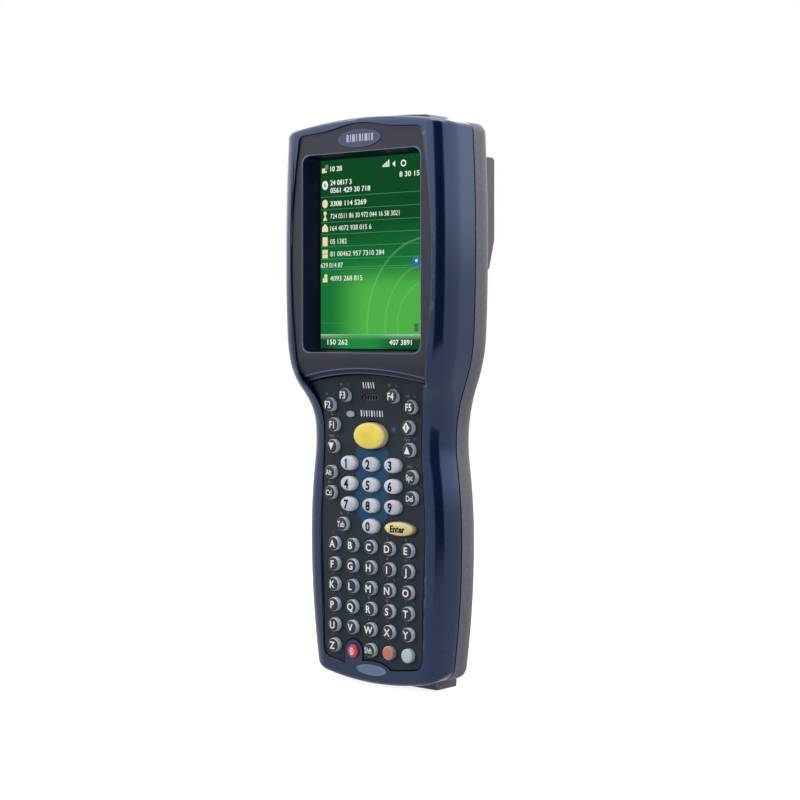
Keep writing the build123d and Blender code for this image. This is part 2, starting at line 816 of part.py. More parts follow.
with BuildPart() as rear_housing:
    with BuildSketch(front_plane(seal_back)):
        add(housing_sides())
    extrude(amount=rear_wall_height - seal_back)
    rear_side_edges = rear_housing.edges().filter_by(
        lambda edge: edge.center().Y > -rear_wall_height - 0.01 and abs(edge.center().X) > plate_half_waist
    )
    fillet(rear_side_edges, rear_side_round)
    with BuildSketch(front_plane(rear_wall_height)):
        add(housing_ends())
    extrude(amount=seal_back - rear_wall_height, mode=Mode.INTERSECT)
    rear_end_edges = rear_housing.edges().filter_by(
        lambda edge: edge.center().Y > -rear_wall_height - rear_side_round + 1
        and (edge.center().Z > shoulder_z or edge.center().Z < heel_z)
    )
    fillet(rear_end_edges, rear_end_round)
    # Hood over the scan window and the two feet
    with BuildSketch(front_plane(-hood_half_depth)):
        add(hood_outline())
    extrude(amount=seal_back - 0.3 + hood_half_depth)
    for side in (-1, 1):
        with BuildSketch(Plane.YZ.offset(side * foot_inner_x)):
            add(foot_profile())
        extrude(amount=side * (foot_outer_x - foot_inner_x))
    # Hollow, stepped in along the rounded rear edges
    for step_in, step_up in ((cavity_step_in, 0), (0, cavity_step_up)):
        with BuildSketch(front_plane(inner_rear + step_up)):
            add(housing_outline(wall + step_in))
        extrude(amount=seal_back - inner_rear - step_up, mode=Mode.SUBTRACT)
    # Walls of the battery bay and the pad behind the latch
    with BuildSketch(front_plane(inner_rear - 0.5)):
        with Locations((0, battery_middle_z)):
            Rectangle(2 * (bay_half_width + bay_wall), bay_length + 2 * bay_wall)
    extrude(amount=bay_floor + bay_wall - inner_rear + 0.5)
    with BuildSketch(front_plane(inner_rear - 0.5)):
        with Locations((0, latch_z)):
            Rectangle(2 * latch_half_width + 5, latch_length + latch_travel + 5)
    extrude(amount=2.0)
    with BuildSketch(front_plane(rear_wall_height)):
        with Locations((0, battery_middle_z)):
            RectangleRounded(2 * bay_half_width, bay_length, 3.0)
    extrude(amount=bay_floor - rear_wall_height, mode=Mode.SUBTRACT)
    with BuildSketch(front_plane(rear_wall_height)):
        with Locations((0, latch_z)):
            Rectangle(2 * (latch_half_width + latch_gap), latch_length + latch_travel + 2 * latch_gap)
    extrude(amount=latch_depth + 0.1, mode=Mode.SUBTRACT)
    with BuildSketch(front_plane(bay_floor - 1)):
        with Locations((0, contacts_z)):
            Rectangle(2 * contacts_half_width + 2 * trim_gap, 2 * contacts_half_height + 2 * trim_gap)
    extrude(amount=bay_wall + 2, mode=Mode.SUBTRACT)
    # Posts for the housing screws
    for step_in, post_foot in ((cavity_step_in, inner_rear - 0.5), (0, inner_rear + cavity_step_up)):
        with BuildSketch(front_plane(post_foot)):
            with Locations(*housing_screw_places):
                Circle(rear_post_radius)
            add(housing_outline(wall / 2 + step_in), mode=Mode.INTERSECT)
        extrude(amount=seal_back - post_foot)
    with BuildSketch(front_plane(rear_wall_height)):
        with Locations(*housing_screw_places):
            Circle(screw_head_radius + 0.2)
    extrude(amount=screw_sink, mode=Mode.SUBTRACT)
    with BuildSketch(front_plane(rear_wall_height)):
        with Locations(*housing_screw_places):
            Circle(screw_shank_radius + screw_thread_gap)
    extrude(amount=seal_back - rear_wall_height, mode=Mode.SUBTRACT)
    # Bosses that take the block screws
    with BuildSketch(front_plane(inner_rear - 1)):
        with Locations(*block_screw_places):
            Circle(post_radius)
    extrude(amount=block_screw_reach + 2 - inner_rear)
    with BuildSketch(front_plane(rear_wall_height)):
        with Locations(*block_screw_places):
            Circle(screw_shank_radius + screw_thread_gap)
    extrude(amount=block_screw_reach + 0.3 - rear_wall_height, mode=Mode.SUBTRACT)
    # Scan window seat and the light path behind it
    with BuildSketch(Plane.XY.offset(scan_window_z)):
        with Locations((0, scan_window_y)):
            RectangleRounded(2 * scan_window_half_width + 0.3, 2 * scan_window_half_depth + 0.3, 1.2)
    extrude(amount=20, mode=Mode.SUBTRACT)
    with BuildSketch(Plane.XY.offset(top_z - 10)):
        with Locations((0, scan_window_y)):
            Rectangle(2 * scan_window_half_width - 3, 2 * scan_window_half_depth - 1.6)
    extrude(amount=20, mode=Mode.SUBTRACT)
    # Opening for the dock connector
    with BuildSketch(Plane.XY):
        with Locations((0, dock_y)):
            RectangleRounded(2 * (dock_half_width + trim_gap), 2 * (dock_half_depth + trim_gap), 1.5)
    extrude(amount=foot_height + wall + 3, mode=Mode.SUBTRACT)

save(rear_housing, "rear_housing")

# --- Top and bottom pieces ---------------------------------------------------
with BuildPart() as scan_window:
    with BuildSketch(Plane.XY.offset(scan_window_z)):
        with Locations((0, scan_window_y)):
            RectangleRounded(2 * scan_window_half_width, 2 * scan_window_half_depth, 1.05)
    extrude(amount=scan_window_thickness)

save(scan_window, "scan_window")

with BuildPart() as scan_engine:
    with BuildSketch(front_plane(inner_rear + 0.2)):
        with Locations((0, scan_engine_top_z - 8)):
            Rectangle(22, 16)
    extrude(amount=10.5)
    # Lens barrel and lamp, looking up at the window
    with BuildSketch(Plane.XY.offset(scan_engine_top_z - 1)):
        with Locations((-4, scan_window_y)):
            Circle(2.4)
        with Locations((5, scan_window_y)):
            Circle(1.6)
    extrude(amount=2.2)

save(scan_engine, "scan_engine")

with BuildPart() as dock_connector:
    with BuildSketch(Plane.XY.offset(foot_height + 0.9)):
        with Locations((0, dock_y)):
            RectangleRounded(2 * dock_half_width, 2 * dock_half_depth, 1.35)
    extrude(amount=6)
    with BuildSketch(Plane.XY.offset(foot_height + 0.9)):
        with Locations((0, dock_y)):
            Rectangle(2 * dock_half_width - 2.4, 2 * dock_half_depth - 2.4)
    extrude(amount=2.2, mode=Mode.SUBTRACT)
    with BuildSketch(Plane.XY.offset(foot_height + 1.9)):
        with Locations((0, dock_y)):
            with GridLocations(1.6, 1.8, 7, 2):
                Rectangle(0.8, 0.8)
    extrude(amount=1.3)

save(dock_connector, "dock_connector")

# --- Battery, latch and contacts ---------------------------------------------
with BuildPart() as battery_pack:
    with BuildSketch(front_plane(rear_wall_height)):
        with Locations((0, battery_middle_z)):
            RectangleRounded(2 * battery_half_width, battery_length, 2.7)
    extrude(amount=battery_depth)
    chamfer(battery_pack.faces().sort_by(Axis.Y)[-1].edges(), 0.8)
    # Finger ribs at the lower end
    with BuildSketch(front_plane(rear_wall_height)):
        with Locations((0, battery_bottom_z + 8)):
            with GridLocations(0, 2.4, 1, 4):
                Rectangle(22, 1.1)
    extrude(amount=0.5, mode=Mode.SUBTRACT)

save(battery_pack, "battery_pack")

with BuildPart() as battery_latch:
    with BuildSketch(front_plane(rear_wall_height)):
        with Locations((0, latch_rest_z)):
            Rectangle(2 * latch_half_width, latch_length)
    extrude(amount=latch_depth)
    with BuildSketch(front_plane(rear_wall_height)):
        with Locations((0, latch_rest_z)):
            with GridLocations(0, 1.8, 1, 3):
                Rectangle(2 * latch_half_width - 4, 0.8)
    extrude(amount=0.5, mode=Mode.SUBTRACT)

save(battery_latch, "battery_latch")

with BuildPart() as battery_contacts:
    with BuildSketch(front_plane(bay_floor + 0.2)):
        with Locations((0, contacts_z)):
            Rectangle(2 * contacts_half_width, 2 * contacts_half_height)
    extrude(amount=2.5)
    with BuildSketch(front_plane(bay_floor - battery_gap + 0.1)):
        with Locations((0, contacts_z)):
            with GridLocations(2.8, 0, 4, 1):
                Rectangle(1.2, 3.4)
    extrude(amount=battery_gap + 0.3)

save(battery_contacts, "battery_contacts")

# --- Handle mounting block on the rear of the head ---------------------------
with BuildPart() as handle_mount_block:
    with BuildSketch(Plane.YZ):
        with BuildLine():
            Polyline(
                (-rear_wall_height, block_top_z),
                (half_depth - 1, block_top_z),
                (half_depth, block_top_z - 1),
                (half_depth, block_bottom_z + 12),
                (half_depth - block_slope, block_bottom_z + 1.5),
                (half_depth - block_slope - 1.5, block_bottom_z),
                (-rear_wall_height, block_bottom_z),
                (-rear_wall_height, block_top_z),
            )
        make_face()
    extrude(amount=block_half_width, both=True)
    fillet(handle_mount_block.edges().filter_by(Axis.Y), 0.8)
    with BuildSketch(front_plane(-half_depth)):
        with Locations(*block_screw_places):
            Circle(screw_head_radius + 0.2)
    extrude(amount=block_screw_sink, mode=Mode.SUBTRACT)
    with BuildSketch(front_plane(-half_depth)):
        with Locations(*block_screw_places):
            Circle(screw_shank_radius + 0.15)
    extrude(amount=half_depth, mode=Mode.SUBTRACT)
    with BuildSketch(front_plane(-half_depth)):
        with Locations((0, mount_z)):
            with GridLocations(mount_spacing_x, mount_spacing_z, 2, 2):
                Circle(mount_hole_radius)
    extrude(amount=mount_hole_depth, mode=Mode.SUBTRACT)

save(handle_mount_block, "handle_mount_block")


# --- Screws ------------------------------------------------------------------
def screw_set(places, seat_height, reach_height):
    """Pan-head screws that point to the front."""
    with BuildPart() as screws:
        with BuildSketch(front_plane(seat_height)):
            with Locations(*places):
                Circle(screw_head_radius)
        extrude(amount=-screw_head_thickness)
        with BuildSketch(front_plane(seat_height - 0.5)):
            with Locations(*places):
                Circle(screw_shank_radius)
        extrude(amount=reach_height - seat_height + 0.5)
    return screws


housing_screws = screw_set(housing_screw_places, screw_seat, screw_reach)
save(housing_screws, "housing_screws")

block_screws = screw_set(block_screw_places, block_screw_sink - half_depth, block_screw_reach)
save(block_screws, "block_screws")
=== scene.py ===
"""Finishes and fine detail of a portable barcode data terminal, built around its fixed solids."""

import json
import math

import bmesh
import bpy
from mathutils import Matrix, Vector
from mathutils.bvhtree import BVHTree

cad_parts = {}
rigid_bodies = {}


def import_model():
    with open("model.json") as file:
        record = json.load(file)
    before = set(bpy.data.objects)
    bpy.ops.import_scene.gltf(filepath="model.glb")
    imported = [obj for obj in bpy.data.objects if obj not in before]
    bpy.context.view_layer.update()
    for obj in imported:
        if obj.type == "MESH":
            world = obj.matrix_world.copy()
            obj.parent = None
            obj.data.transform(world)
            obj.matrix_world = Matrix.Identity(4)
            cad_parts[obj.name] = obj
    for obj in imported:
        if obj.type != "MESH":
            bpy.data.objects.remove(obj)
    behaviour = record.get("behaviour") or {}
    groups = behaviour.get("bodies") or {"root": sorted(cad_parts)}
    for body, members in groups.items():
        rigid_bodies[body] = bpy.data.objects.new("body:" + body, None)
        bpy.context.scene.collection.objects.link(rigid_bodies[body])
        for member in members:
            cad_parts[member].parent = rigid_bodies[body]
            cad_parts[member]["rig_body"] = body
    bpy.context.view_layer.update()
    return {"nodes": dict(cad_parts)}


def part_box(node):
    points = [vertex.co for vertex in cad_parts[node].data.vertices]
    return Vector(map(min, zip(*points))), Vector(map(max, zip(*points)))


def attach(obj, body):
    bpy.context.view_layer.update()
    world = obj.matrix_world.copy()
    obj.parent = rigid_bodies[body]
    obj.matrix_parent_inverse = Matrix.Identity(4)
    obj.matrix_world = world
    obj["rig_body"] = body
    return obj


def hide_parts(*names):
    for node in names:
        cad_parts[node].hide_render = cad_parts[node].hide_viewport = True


bl_info = {
    "name": "Barcode Terminal Finisher",
    "version": (1, 0, 0),
    "blender": (4, 5, 0),
    "location": "3D View > Sidebar > Terminal",
    "description": "Builds the shells, keys, print, screen and stage of a handheld data terminal",
    "category": "Object",
}

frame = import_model()

MM = 0.001
MERGE_DISTANCE = 0.002 * MM
SLOTS = {name: node.data.materials[0].name for name, node in frame["nodes"].items()}


# --- Small helpers --------------------------------------------------------------------


def paint(code):
    """Linear red, green and blue of a colour written as #rrggbb."""
    parts = [int(code[i : i + 2], 16) / 255 for i in (1, 3, 5)]
    return tuple(p / 12.92 if p <= 0.04045 else ((p + 0.055) / 1.055) ** 2.4 for p in parts)


def opaque(colour):
    """A colour with full alpha, as a node socket holds it."""
    return (*colour[:3], 1.0)


def node_centre(name):
    """Middle of a CAD node's box."""
    low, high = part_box(name)
    return (low + high) / 2


def front_height(name):
    """How far forward of Y = 0 a CAD node reaches."""
    return -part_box(name)[0].y


def body_of_node(name):
    """The body that a CAD node rides on."""
    return frame["nodes"][name]["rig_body"]


def merged_node(name):
    """A CAD node's mesh with its loose triangles joined."""
    bm = bmesh.new()
    bm.from_mesh(frame["nodes"][name].data)
    bmesh.ops.remove_doubles(bm, verts=bm.verts, dist=MERGE_DISTANCE)
    return bm


def solid_boxes(name):
    """Lowest and highest corner of each separate solid in a CAD node, from low to high."""
    bm = merged_node(name)
    waiting = set(bm.verts)
    boxes = []
    while waiting:
        reached = [waiting.pop()]
        for vert in reached:
            for edge in vert.link_edges:
                other = edge.other_vert(vert)
                if other in waiting:
                    waiting.remove(other)
                    reached.append(other)
        corners = list(zip(*(vert.co for vert in reached)))
        boxes.append((Vector(map(min, corners)), Vector(map(max, corners))))
    bm.free()
    return sorted(boxes, key=lambda box: (round(box[0].z, 4), box[0].x))


# --- Building node trees --------------------------------------------------------------


class NodeBuilder:
    """Adds nodes to a tree, with numbers or other sockets as their inputs."""

    def __init__(self, tree):
        self.tree = tree

    def feed(self, socket, value):
        """Links an input to another node's socket, or sets its value."""
        if isinstance(value, bpy.types.NodeSocket):
            self.tree.links.new(value, socket)
        else:
            socket.default_value = value

    def add(self, kind, inputs=None, **settings):
        """A node with its settings, and its inputs by name or number."""
        node = self.tree.nodes.new(kind)
        for name, value in settings.items():
            setattr(node, name, value)
        for key, value in (inputs or {}).items():
            self.feed(node.inputs[key], value)
        return node

    def math(self, operation, *values, clamp=False):
        kind = "ShaderNodeMath"
        inputs = dict(enumerate(values))
        return self.add(kind, inputs, operation=operation, use_clamp=clamp).outputs[0]

    def product(self, first, *others):
        """All the values multiplied, from left to right."""
        for other in others:
            first = self.math("MULTIPLY", first, other)
        return first

    def inverse(self, value):
        """What is missing to 1."""
        return self.math("SUBTRACT", 1.0, value)

    def distance(self, value, other=0.0):
        """How far apart two values are."""
        return self.math("ABSOLUTE", self.math("SUBTRACT", value, other))

    def length(self, *parts):
        """Length of the vector that has two parts."""
        squares = [self.math("POWER", part, 2.0) for part in parts]
        return self.math("SQRT", self.math("ADD", *squares))

    def fade(self, value, low, high):
        """0 below low, 1 above high and a smooth step between."""
        inputs = {"Value": value, "From Min": low, "From Max": high}
        return self.add("ShaderNodeMapRange", inputs, interpolation_type="SMOOTHSTEP").outputs[0]

    def fade_out(self, value, low, high):
        """1 below low, 0 above high and a smooth step between."""
        return self.inverse(self.fade(value, low, high))

    def mix(self, factor, first, second):
        """A colour between two colours."""
        node = self.add("ShaderNodeMix", data_type="RGBA")
        self.feed(node.inputs[0], factor)
        for index, colour in ((6, first), (7, second)):
            plain = not isinstance(colour, bpy.types.NodeSocket)
            self.feed(node.inputs[index], opaque(colour) if plain else colour)
        return node.outputs[2]

    def ramp(self, value, stops):
        """A colour read from (position, colour) stops."""
        node = self.add("ShaderNodeValToRGB", {"Fac": value})
        elements = node.color_ramp.elements
        while len(elements) < len(stops):
            elements.new(0.5)
        for element, (position, colour) in zip(elements, stops):
            element.position = position
            element.color = opaque(colour)
        return node.outputs["Color"]

    def noise(self, vector, scale, detail):
        """Smooth noise, with its scale in lumps per metre."""
        inputs = {"Vector": vector, "Scale": scale, "Detail": detail}
        return self.add("ShaderNodeTexNoise", inputs).outputs["Fac"]

    def parts(self, vector):
        """The X, Y and Z of a vector."""
        return self.add("ShaderNodeSeparateXYZ", {"Vector": vector}).outputs


def kept_tree(name, kind, inputs, outputs, fill):
    """The node group of that name, which fill(nodes, given) makes when it is first asked for."""
    if name not in bpy.data.node_groups:
        tree = bpy.data.node_groups.new(name, kind)
        for in_out, sockets in (("INPUT", inputs), ("OUTPUT", outputs)):
            for label, socket_kind, default in sockets:
                socket = tree.interface.new_socket(label, in_out=in_out, socket_type=socket_kind)
                if default is not None:
                    socket.default_value = default
        nodes = NodeBuilder(tree)
        fill(nodes, nodes.add("NodeGroupInput").outputs)
    return bpy.data.node_groups[name]


# --- Shared shader groups -------------------------------------------------------------

GRAIN_INPUTS = [
    ("Vector", "NodeSocketVector", None),
    ("Grain per metre", "NodeSocketFloat", 2500.0),
    ("Mottle per metre", "NodeSocketFloat", 40.0),
    ("Fleck share", "NodeSocketFloat", 0.1),
]
GRAIN_OUTPUTS = [(name, "NodeSocketFloat", None) for name in ("Mottle", "Grain", "Fleck")]
SCUFF_INPUTS = [
    ("Vector", "NodeSocketVector", None),
    ("Streaks per metre", "NodeSocketFloat", 60.0),
    ("Cover", "NodeSocketFloat", 0.3),
]
SCUFF_OUTPUTS = [("Mask", "NodeSocketFloat", None)]
STREAK_TURN = (0.3, 0.5, 0.9)
STREAK_STRETCH = (1.0, 1.0, 12.0)
PATCHES_PER_METRE = 18.0


def moulded_grain():
    """Slow mottle, fine moulding grain and sparse pale flecks, for every moulded finish."""

    def fill(nodes, given):
        place, per_metre = given["Vector"], given["Grain per metre"]
        mottle = nodes.noise(place, given["Mottle per metre"], 4.0)
        grain = nodes.noise(place, per_metre, 2.0)
        cells = nodes.add("ShaderNodeTexVoronoi", {"Vector": place, "Scale": per_metre})
        pick = nodes.add("ShaderNodeSeparateColor", {"Color": cells.outputs["Color"]}).outputs[0]
        fleck = nodes.math("LESS_THAN", pick, given["Fleck share"])
        outputs = {"Mottle": nodes.fade(mottle, 0.3, 0.7), "Grain": grain, "Fleck": fleck}
        nodes.add("NodeGroupOutput", outputs)

    return kept_tree("moulded_grain", "ShaderNodeTree", GRAIN_INPUTS, GRAIN_OUTPUTS, fill)


def scuffs():
    """Short faint rubbed streaks, for hard surfaces that are handled."""

    def fill(nodes, given):
        turn = {"Vector": given["Vector"], "Rotation": STREAK_TURN, "Scale": STREAK_STRETCH}
        stretched = nodes.add("ShaderNodeMapping", turn).outputs["Vector"]
        streak = nodes.noise(stretched, given["Streaks per metre"], 3.0)
        patch = nodes.noise(given["Vector"], PATCHES_PER_METRE, 2.0)
        edge = nodes.product(nodes.inverse(given["Cover"]), 0.6)
        mask = nodes.product(nodes.fade(streak, 0.58, 0.72), nodes.fade(patch, edge, 0.75))
        nodes.add("NodeGroupOutput", {"Mask": mask})

    return kept_tree("scuffs", "ShaderNodeTree", SCUFF_INPUTS, SCUFF_OUTPUTS, fill)


# --- Kinds of finish ------------------------------------------------------------------

RELIEF_DEPTH = 0.05 * MM
COAT_ROUGHNESS = 0.15
FLECK_COLOUR = (0.5, 0.55, 0.65)
WHITE = (1.0, 1.0, 1.0)
BLACK = (0.0, 0.0, 0.0)


class Finish(NodeBuilder):
    """The nodes of one new material."""

    def __init__(self, name):
        self.material = bpy.data.materials.new("finish_" + name)
        self.material.use_nodes = True
        super().__init__(self.material.node_tree)
        self.tree.nodes.clear()

    def place(self):
        """The place on the object, which patterns follow."""
        return self.add("ShaderNodeTexCoord").outputs["Object"]

    def group(self, tree, place, **inputs):
        """The outputs of a shared group at a place."""
        inputs = {name.replace("_", " ").capitalize(): value for name, value in inputs.items()}
        return self.add("ShaderNodeGroup", {"Vector": place, **inputs}, node_tree=tree).outputs

    def relief(self, height, strength):
        """The normal of a finely uneven surface."""
        inputs = {"Height": height, "Strength": strength, "Distance": RELIEF_DEPTH}
        return self.add("ShaderNodeBump", inputs).outputs["Normal"]

    def end(self, shader):
        """Puts the shader on the surface."""
        self.add("ShaderNodeOutputMaterial", {"Surface": shader})
        return self.material

    def surface(self, inputs):
        """Ends the material in one shader with those inputs."""
        return self.end(self.add("ShaderNodeBsdfPrincipled", inputs).outputs["BSDF"])


def moulded(
    name, colour, drift, roughness, bump=0.25, grain=2500.0, mottle=40.0, fleck=0.0,
    fleck_share=0.1, level=0.5, tint=WHITE, coat=0.0, scuff=0.06, shade_of=None,
):
    """Moulded plastic or rubber. shade_of(nodes, parts, shade) may paint more on its colour: print,
    painted shade and painted highlights.
    """
    nodes = Finish(name)
    place = nodes.place()
    grains = nodes.group(
        moulded_grain(), place, grain_per_metre=grain, mottle_per_metre=mottle,
        fleck_share=fleck_share,
    )
    rubbed = nodes.group(scuffs(), place)["Mask"]
    shade = nodes.mix(grains["Mottle"], colour, drift)
    if fleck:
        shade = nodes.mix(nodes.product(grains["Fleck"], fleck), shade, FLECK_COLOUR)
    if shade_of:
        shade = shade_of(nodes, nodes.parts(place), shade)
    rough = nodes.math("MULTIPLY_ADD", grains["Mottle"], 0.05, roughness)
    return nodes.surface({
        "Base Color": shade,
        "Roughness": nodes.math("MULTIPLY_ADD", rubbed, scuff, rough, clamp=True),
        "Normal": nodes.relief(grains["Grain"], bump),
        "Specular IOR Level": level,
        "Specular Tint": opaque(tint),
        "Coat Weight": coat,
        "Coat Roughness": COAT_ROUGHNESS,
    })


def printed_cap(name, body, ink, ink_edge, roughness, rim=None):
    """A key's moulded cap with a printed disc on its top, as far out as ink_edge of its outline. A rim
    colour paints light and shade on the cap's walls.
    """
    nodes = Finish(name)
    outward = nodes.add("ShaderNodeAttribute", attribute_name="from_centre").outputs["Fac"]
    grains = nodes.group(moulded_grain(), nodes.place(), mottle_per_metre=150.0)
    paler = tuple(min(1.0, c * 1.25) for c in body)
    shade = nodes.mix(grains["Mottle"], body, paler)
    # rim: painted light and shade on the cap's walls and the edge of its top
    if rim:
        shade = nodes.mix(nodes.fade(outward, 0.86, 0.97), shade, rim)
    if ink:
        shade = nodes.mix(nodes.fade_out(outward, ink_edge - 0.02, ink_edge + 0.02), shade, ink)
    return nodes.surface({
        "Base Color": shade,
        "Roughness": nodes.math("MULTIPLY_ADD", grains["Mottle"], 0.06, roughness),
        "Normal": nodes.relief(grains["Grain"], 0.08),
    })


def glowing(name, colour):
    """A lit mark on the screen."""
    return Finish(name).surface({
        "Base Color": opaque(BLACK),
        "Specular IOR Level": 0.0,
        "Roughness": 1.0,
        "Emission Color": opaque(colour),
        "Emission Strength": 1.0,
    })


def metal(name, colour, roughness):
    """Plated or brushed metal with fine streaks."""
    nodes = Finish(name)
    streaks = nodes.group(scuffs(), nodes.place(), streaks_per_metre=400.0)["Mask"]
    return nodes.surface({
        "Base Color": nodes.mix(streaks, colour, tuple(c * 0.75 for c in colour)),
        "Roughness": nodes.math("MULTIPLY_ADD", streaks, 0.15, roughness),
        "Metallic": 1.0,
    })


def glass(name, tint, roughness, ior):
    """Clear sheet, a little uneven."""
    nodes = Finish(name)
    haze = nodes.noise(nodes.place(), 90.0, 3.0)
    return nodes.surface({
        "Base Color": opaque(tint),
        "Roughness": nodes.math("MULTIPLY_ADD", haze, 0.04, roughness),
        "IOR": ior,
        "Transmission Weight": 1.0,
    })


# --- Print, painted shade and painted highlights on the shells, the plate and the bezel ---

ZONE_COLOUR = paint("#1c4766")
ZONE_HALF_WIDTH = 7.2 * MM
ZONE_WAVE = 1.1 * MM
ZONE_FOOT_SHARE = 0.25
ZONE_BLUR = 0.15 * MM

# Painted shadow in the gap where the rear shell meets the front one
GAP_SHADOW_DEPTH = 0.6 * MM
GAP_SHADOW_COLOUR = paint("#12121a")

WINDOW_INSET = 1.8 * MM
WINDOW_SLOPE = Vector((1.8 * MM, 0.8 * MM))
WINDOW_CORNER = 3.0 * MM
# Painted shade on the walls of the display window's recess
WINDOW_WALL_SHADE_COLOUR = paint("#020b32")
# Painted highlight along the window's rim
WINDOW_HIGHLIGHT_COLOUR = paint("#8a8ea6")
WINDOW_HIGHLIGHT_STRENGTH = 0.55

BEZEL_END_RADIUS = 132.0 * MM
BEZEL_END_GAP = 0.1 * MM
STRIP_WIDTH = 2.0 * MM
STRIP_COLOUR = paint("#131a33")
STRIP_HIGHLIGHT_COLOUR = paint("#8b93b4")
# Painted highlights along the strip's edges: (distance from the bezel's lower end, strength)
STRIP_HIGHLIGHTS = ((0.25 * MM, 0.35), (STRIP_WIDTH, 0.55))


def keypad_zone(nodes, parts, shade):
    """Blue print behind the digits, its sides scalloped round the key rows, its foot narrowed."""
    digits = [node_centre(f"digit_{i}_key") for i in range(10)]
    pitch = digits[1].z - digits[4].z
    foot_z = digits[0].z - 0.5 * pitch
    top_z = node_centre("scan_key").z
    turn = nodes.product(nodes.math("SUBTRACT", parts["Z"], digits[5].z), math.tau / pitch)
    wave = nodes.product(nodes.math("COSINE", turn), -ZONE_WAVE)
    half = nodes.math("ADD", wave, ZONE_HALF_WIDTH)
    foot = nodes.fade(parts["Z"], foot_z, foot_z + 1.3 * pitch)
    foot = nodes.math("MULTIPLY_ADD", foot, 1 - ZONE_FOOT_SHARE, ZONE_FOOT_SHARE)
    beyond = nodes.math("SUBTRACT", nodes.math("ABSOLUTE", parts["X"]), nodes.product(half, foot))
    level = nodes.product(
        nodes.math("GREATER_THAN", parts["Z"], foot_z), nodes.math("LESS_THAN", parts["Z"], top_z)
    )
    inside = nodes.product(nodes.fade_out(beyond, -ZONE_BLUR, ZONE_BLUR), level)
    return nodes.mix(inside, shade, ZONE_COLOUR)


def rear_gap_shadow(nodes, parts, shade):
    """Painted shadow: a dark line in the gap where the rear shell meets the front one."""
    behind = nodes.math("SUBTRACT", parts["Y"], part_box("front_housing")[1].y)
    return nodes.mix(nodes.math("LESS_THAN", behind, GAP_SHADOW_DEPTH), shade, GAP_SHADOW_COLOUR)


def bezel_strip_and_painted_light(nodes, parts, shade):
    """Painted shade on the walls in the window, a painted highlight round its rim, and a navy strip
    along the lower end with painted highlights along its edges.
    """
    low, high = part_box("touch_panel")
    middle = (low + high) / 2
    half_x, half_z = high.x - middle.x - WINDOW_INSET, high.z - middle.z - WINDOW_INSET
    beside = nodes.math("ABSOLUTE", parts["X"])
    beside = nodes.math("SUBTRACT", beside, half_x + WINDOW_SLOPE.x - WINDOW_CORNER)
    above = nodes.distance(parts["Z"], middle.z)
    above = nodes.math("SUBTRACT", above, half_z + WINDOW_SLOPE.y - WINDOW_CORNER)
    corner = nodes.length(*(nodes.math("MAXIMUM", reach, 0.0) for reach in (beside, above)))
    inner = nodes.math("MINIMUM", nodes.math("MAXIMUM", beside, above), 0.0)
    out = nodes.math("SUBTRACT", nodes.math("ADD", corner, inner), WINDOW_CORNER)
    depth = nodes.math("ADD", parts["Y"], front_height("display_bezel"))
    in_window = nodes.math("LESS_THAN", out, 0.4 * MM)
    # Painted shade: the recessed walls inside the window are darkened
    walls = nodes.product(in_window, nodes.fade(depth, 0.1 * MM, 0.5 * MM))
    shade = nodes.mix(walls, shade, WINDOW_WALL_SHADE_COLOUR)
    # Painted highlight: a pale line round the window's rim
    rim = nodes.fade_out(nodes.math("ABSOLUTE", out), 0.1 * MM, 0.4 * MM)
    on_face = nodes.math("LESS_THAN", depth, 0.4 * MM)
    shade = nodes.mix(nodes.product(rim, on_face, WINDOW_HIGHLIGHT_STRENGTH), shade, WINDOW_HIGHLIGHT_COLOUR)
    sag = nodes.product(parts["X"], parts["X"], 0.5 / BEZEL_END_RADIUS)
    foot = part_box("keypad_plate")[1].z + BEZEL_END_GAP
    up = nodes.math("SUBTRACT", nodes.math("ADD", parts["Z"], sag), foot)
    shade = nodes.mix(nodes.math("LESS_THAN", up, STRIP_WIDTH), shade, STRIP_COLOUR)
    # Painted highlights: pale lines along the strip's edges
    for at, strength in STRIP_HIGHLIGHTS:
        line = nodes.fade_out(nodes.distance(up, at), 0.08 * MM, 0.3 * MM)
        shade = nodes.mix(nodes.product(line, strength), shade, STRIP_HIGHLIGHT_COLOUR)
    return shade


# --- The lit picture ------------------------------------------------------------------

UNLIT = (0.004, 0.005, 0.008)
ARC_MIDDLE = (1.08, 0.12)
ARC_COLOUR = (0.5, 0.9, 0.4)
# Pale arcs behind the figures: (radius as a share of the picture's width, strength)
ARCS = ((0.6, 0.16), (0.42, 0.12), (0.3, 0.1))
BAR_SHARE = 0.076
BAR_STOPS = [
    (0.0, paint("#0f4f28")), (0.6, paint("#144a2a")),
    (0.88, paint("#6f9f78")), (1.0, paint("#a8cfa6")),
]
BAR_GLOW = paint("#2c9a4c")
BAR_GLOW_STRENGTH = 0.6


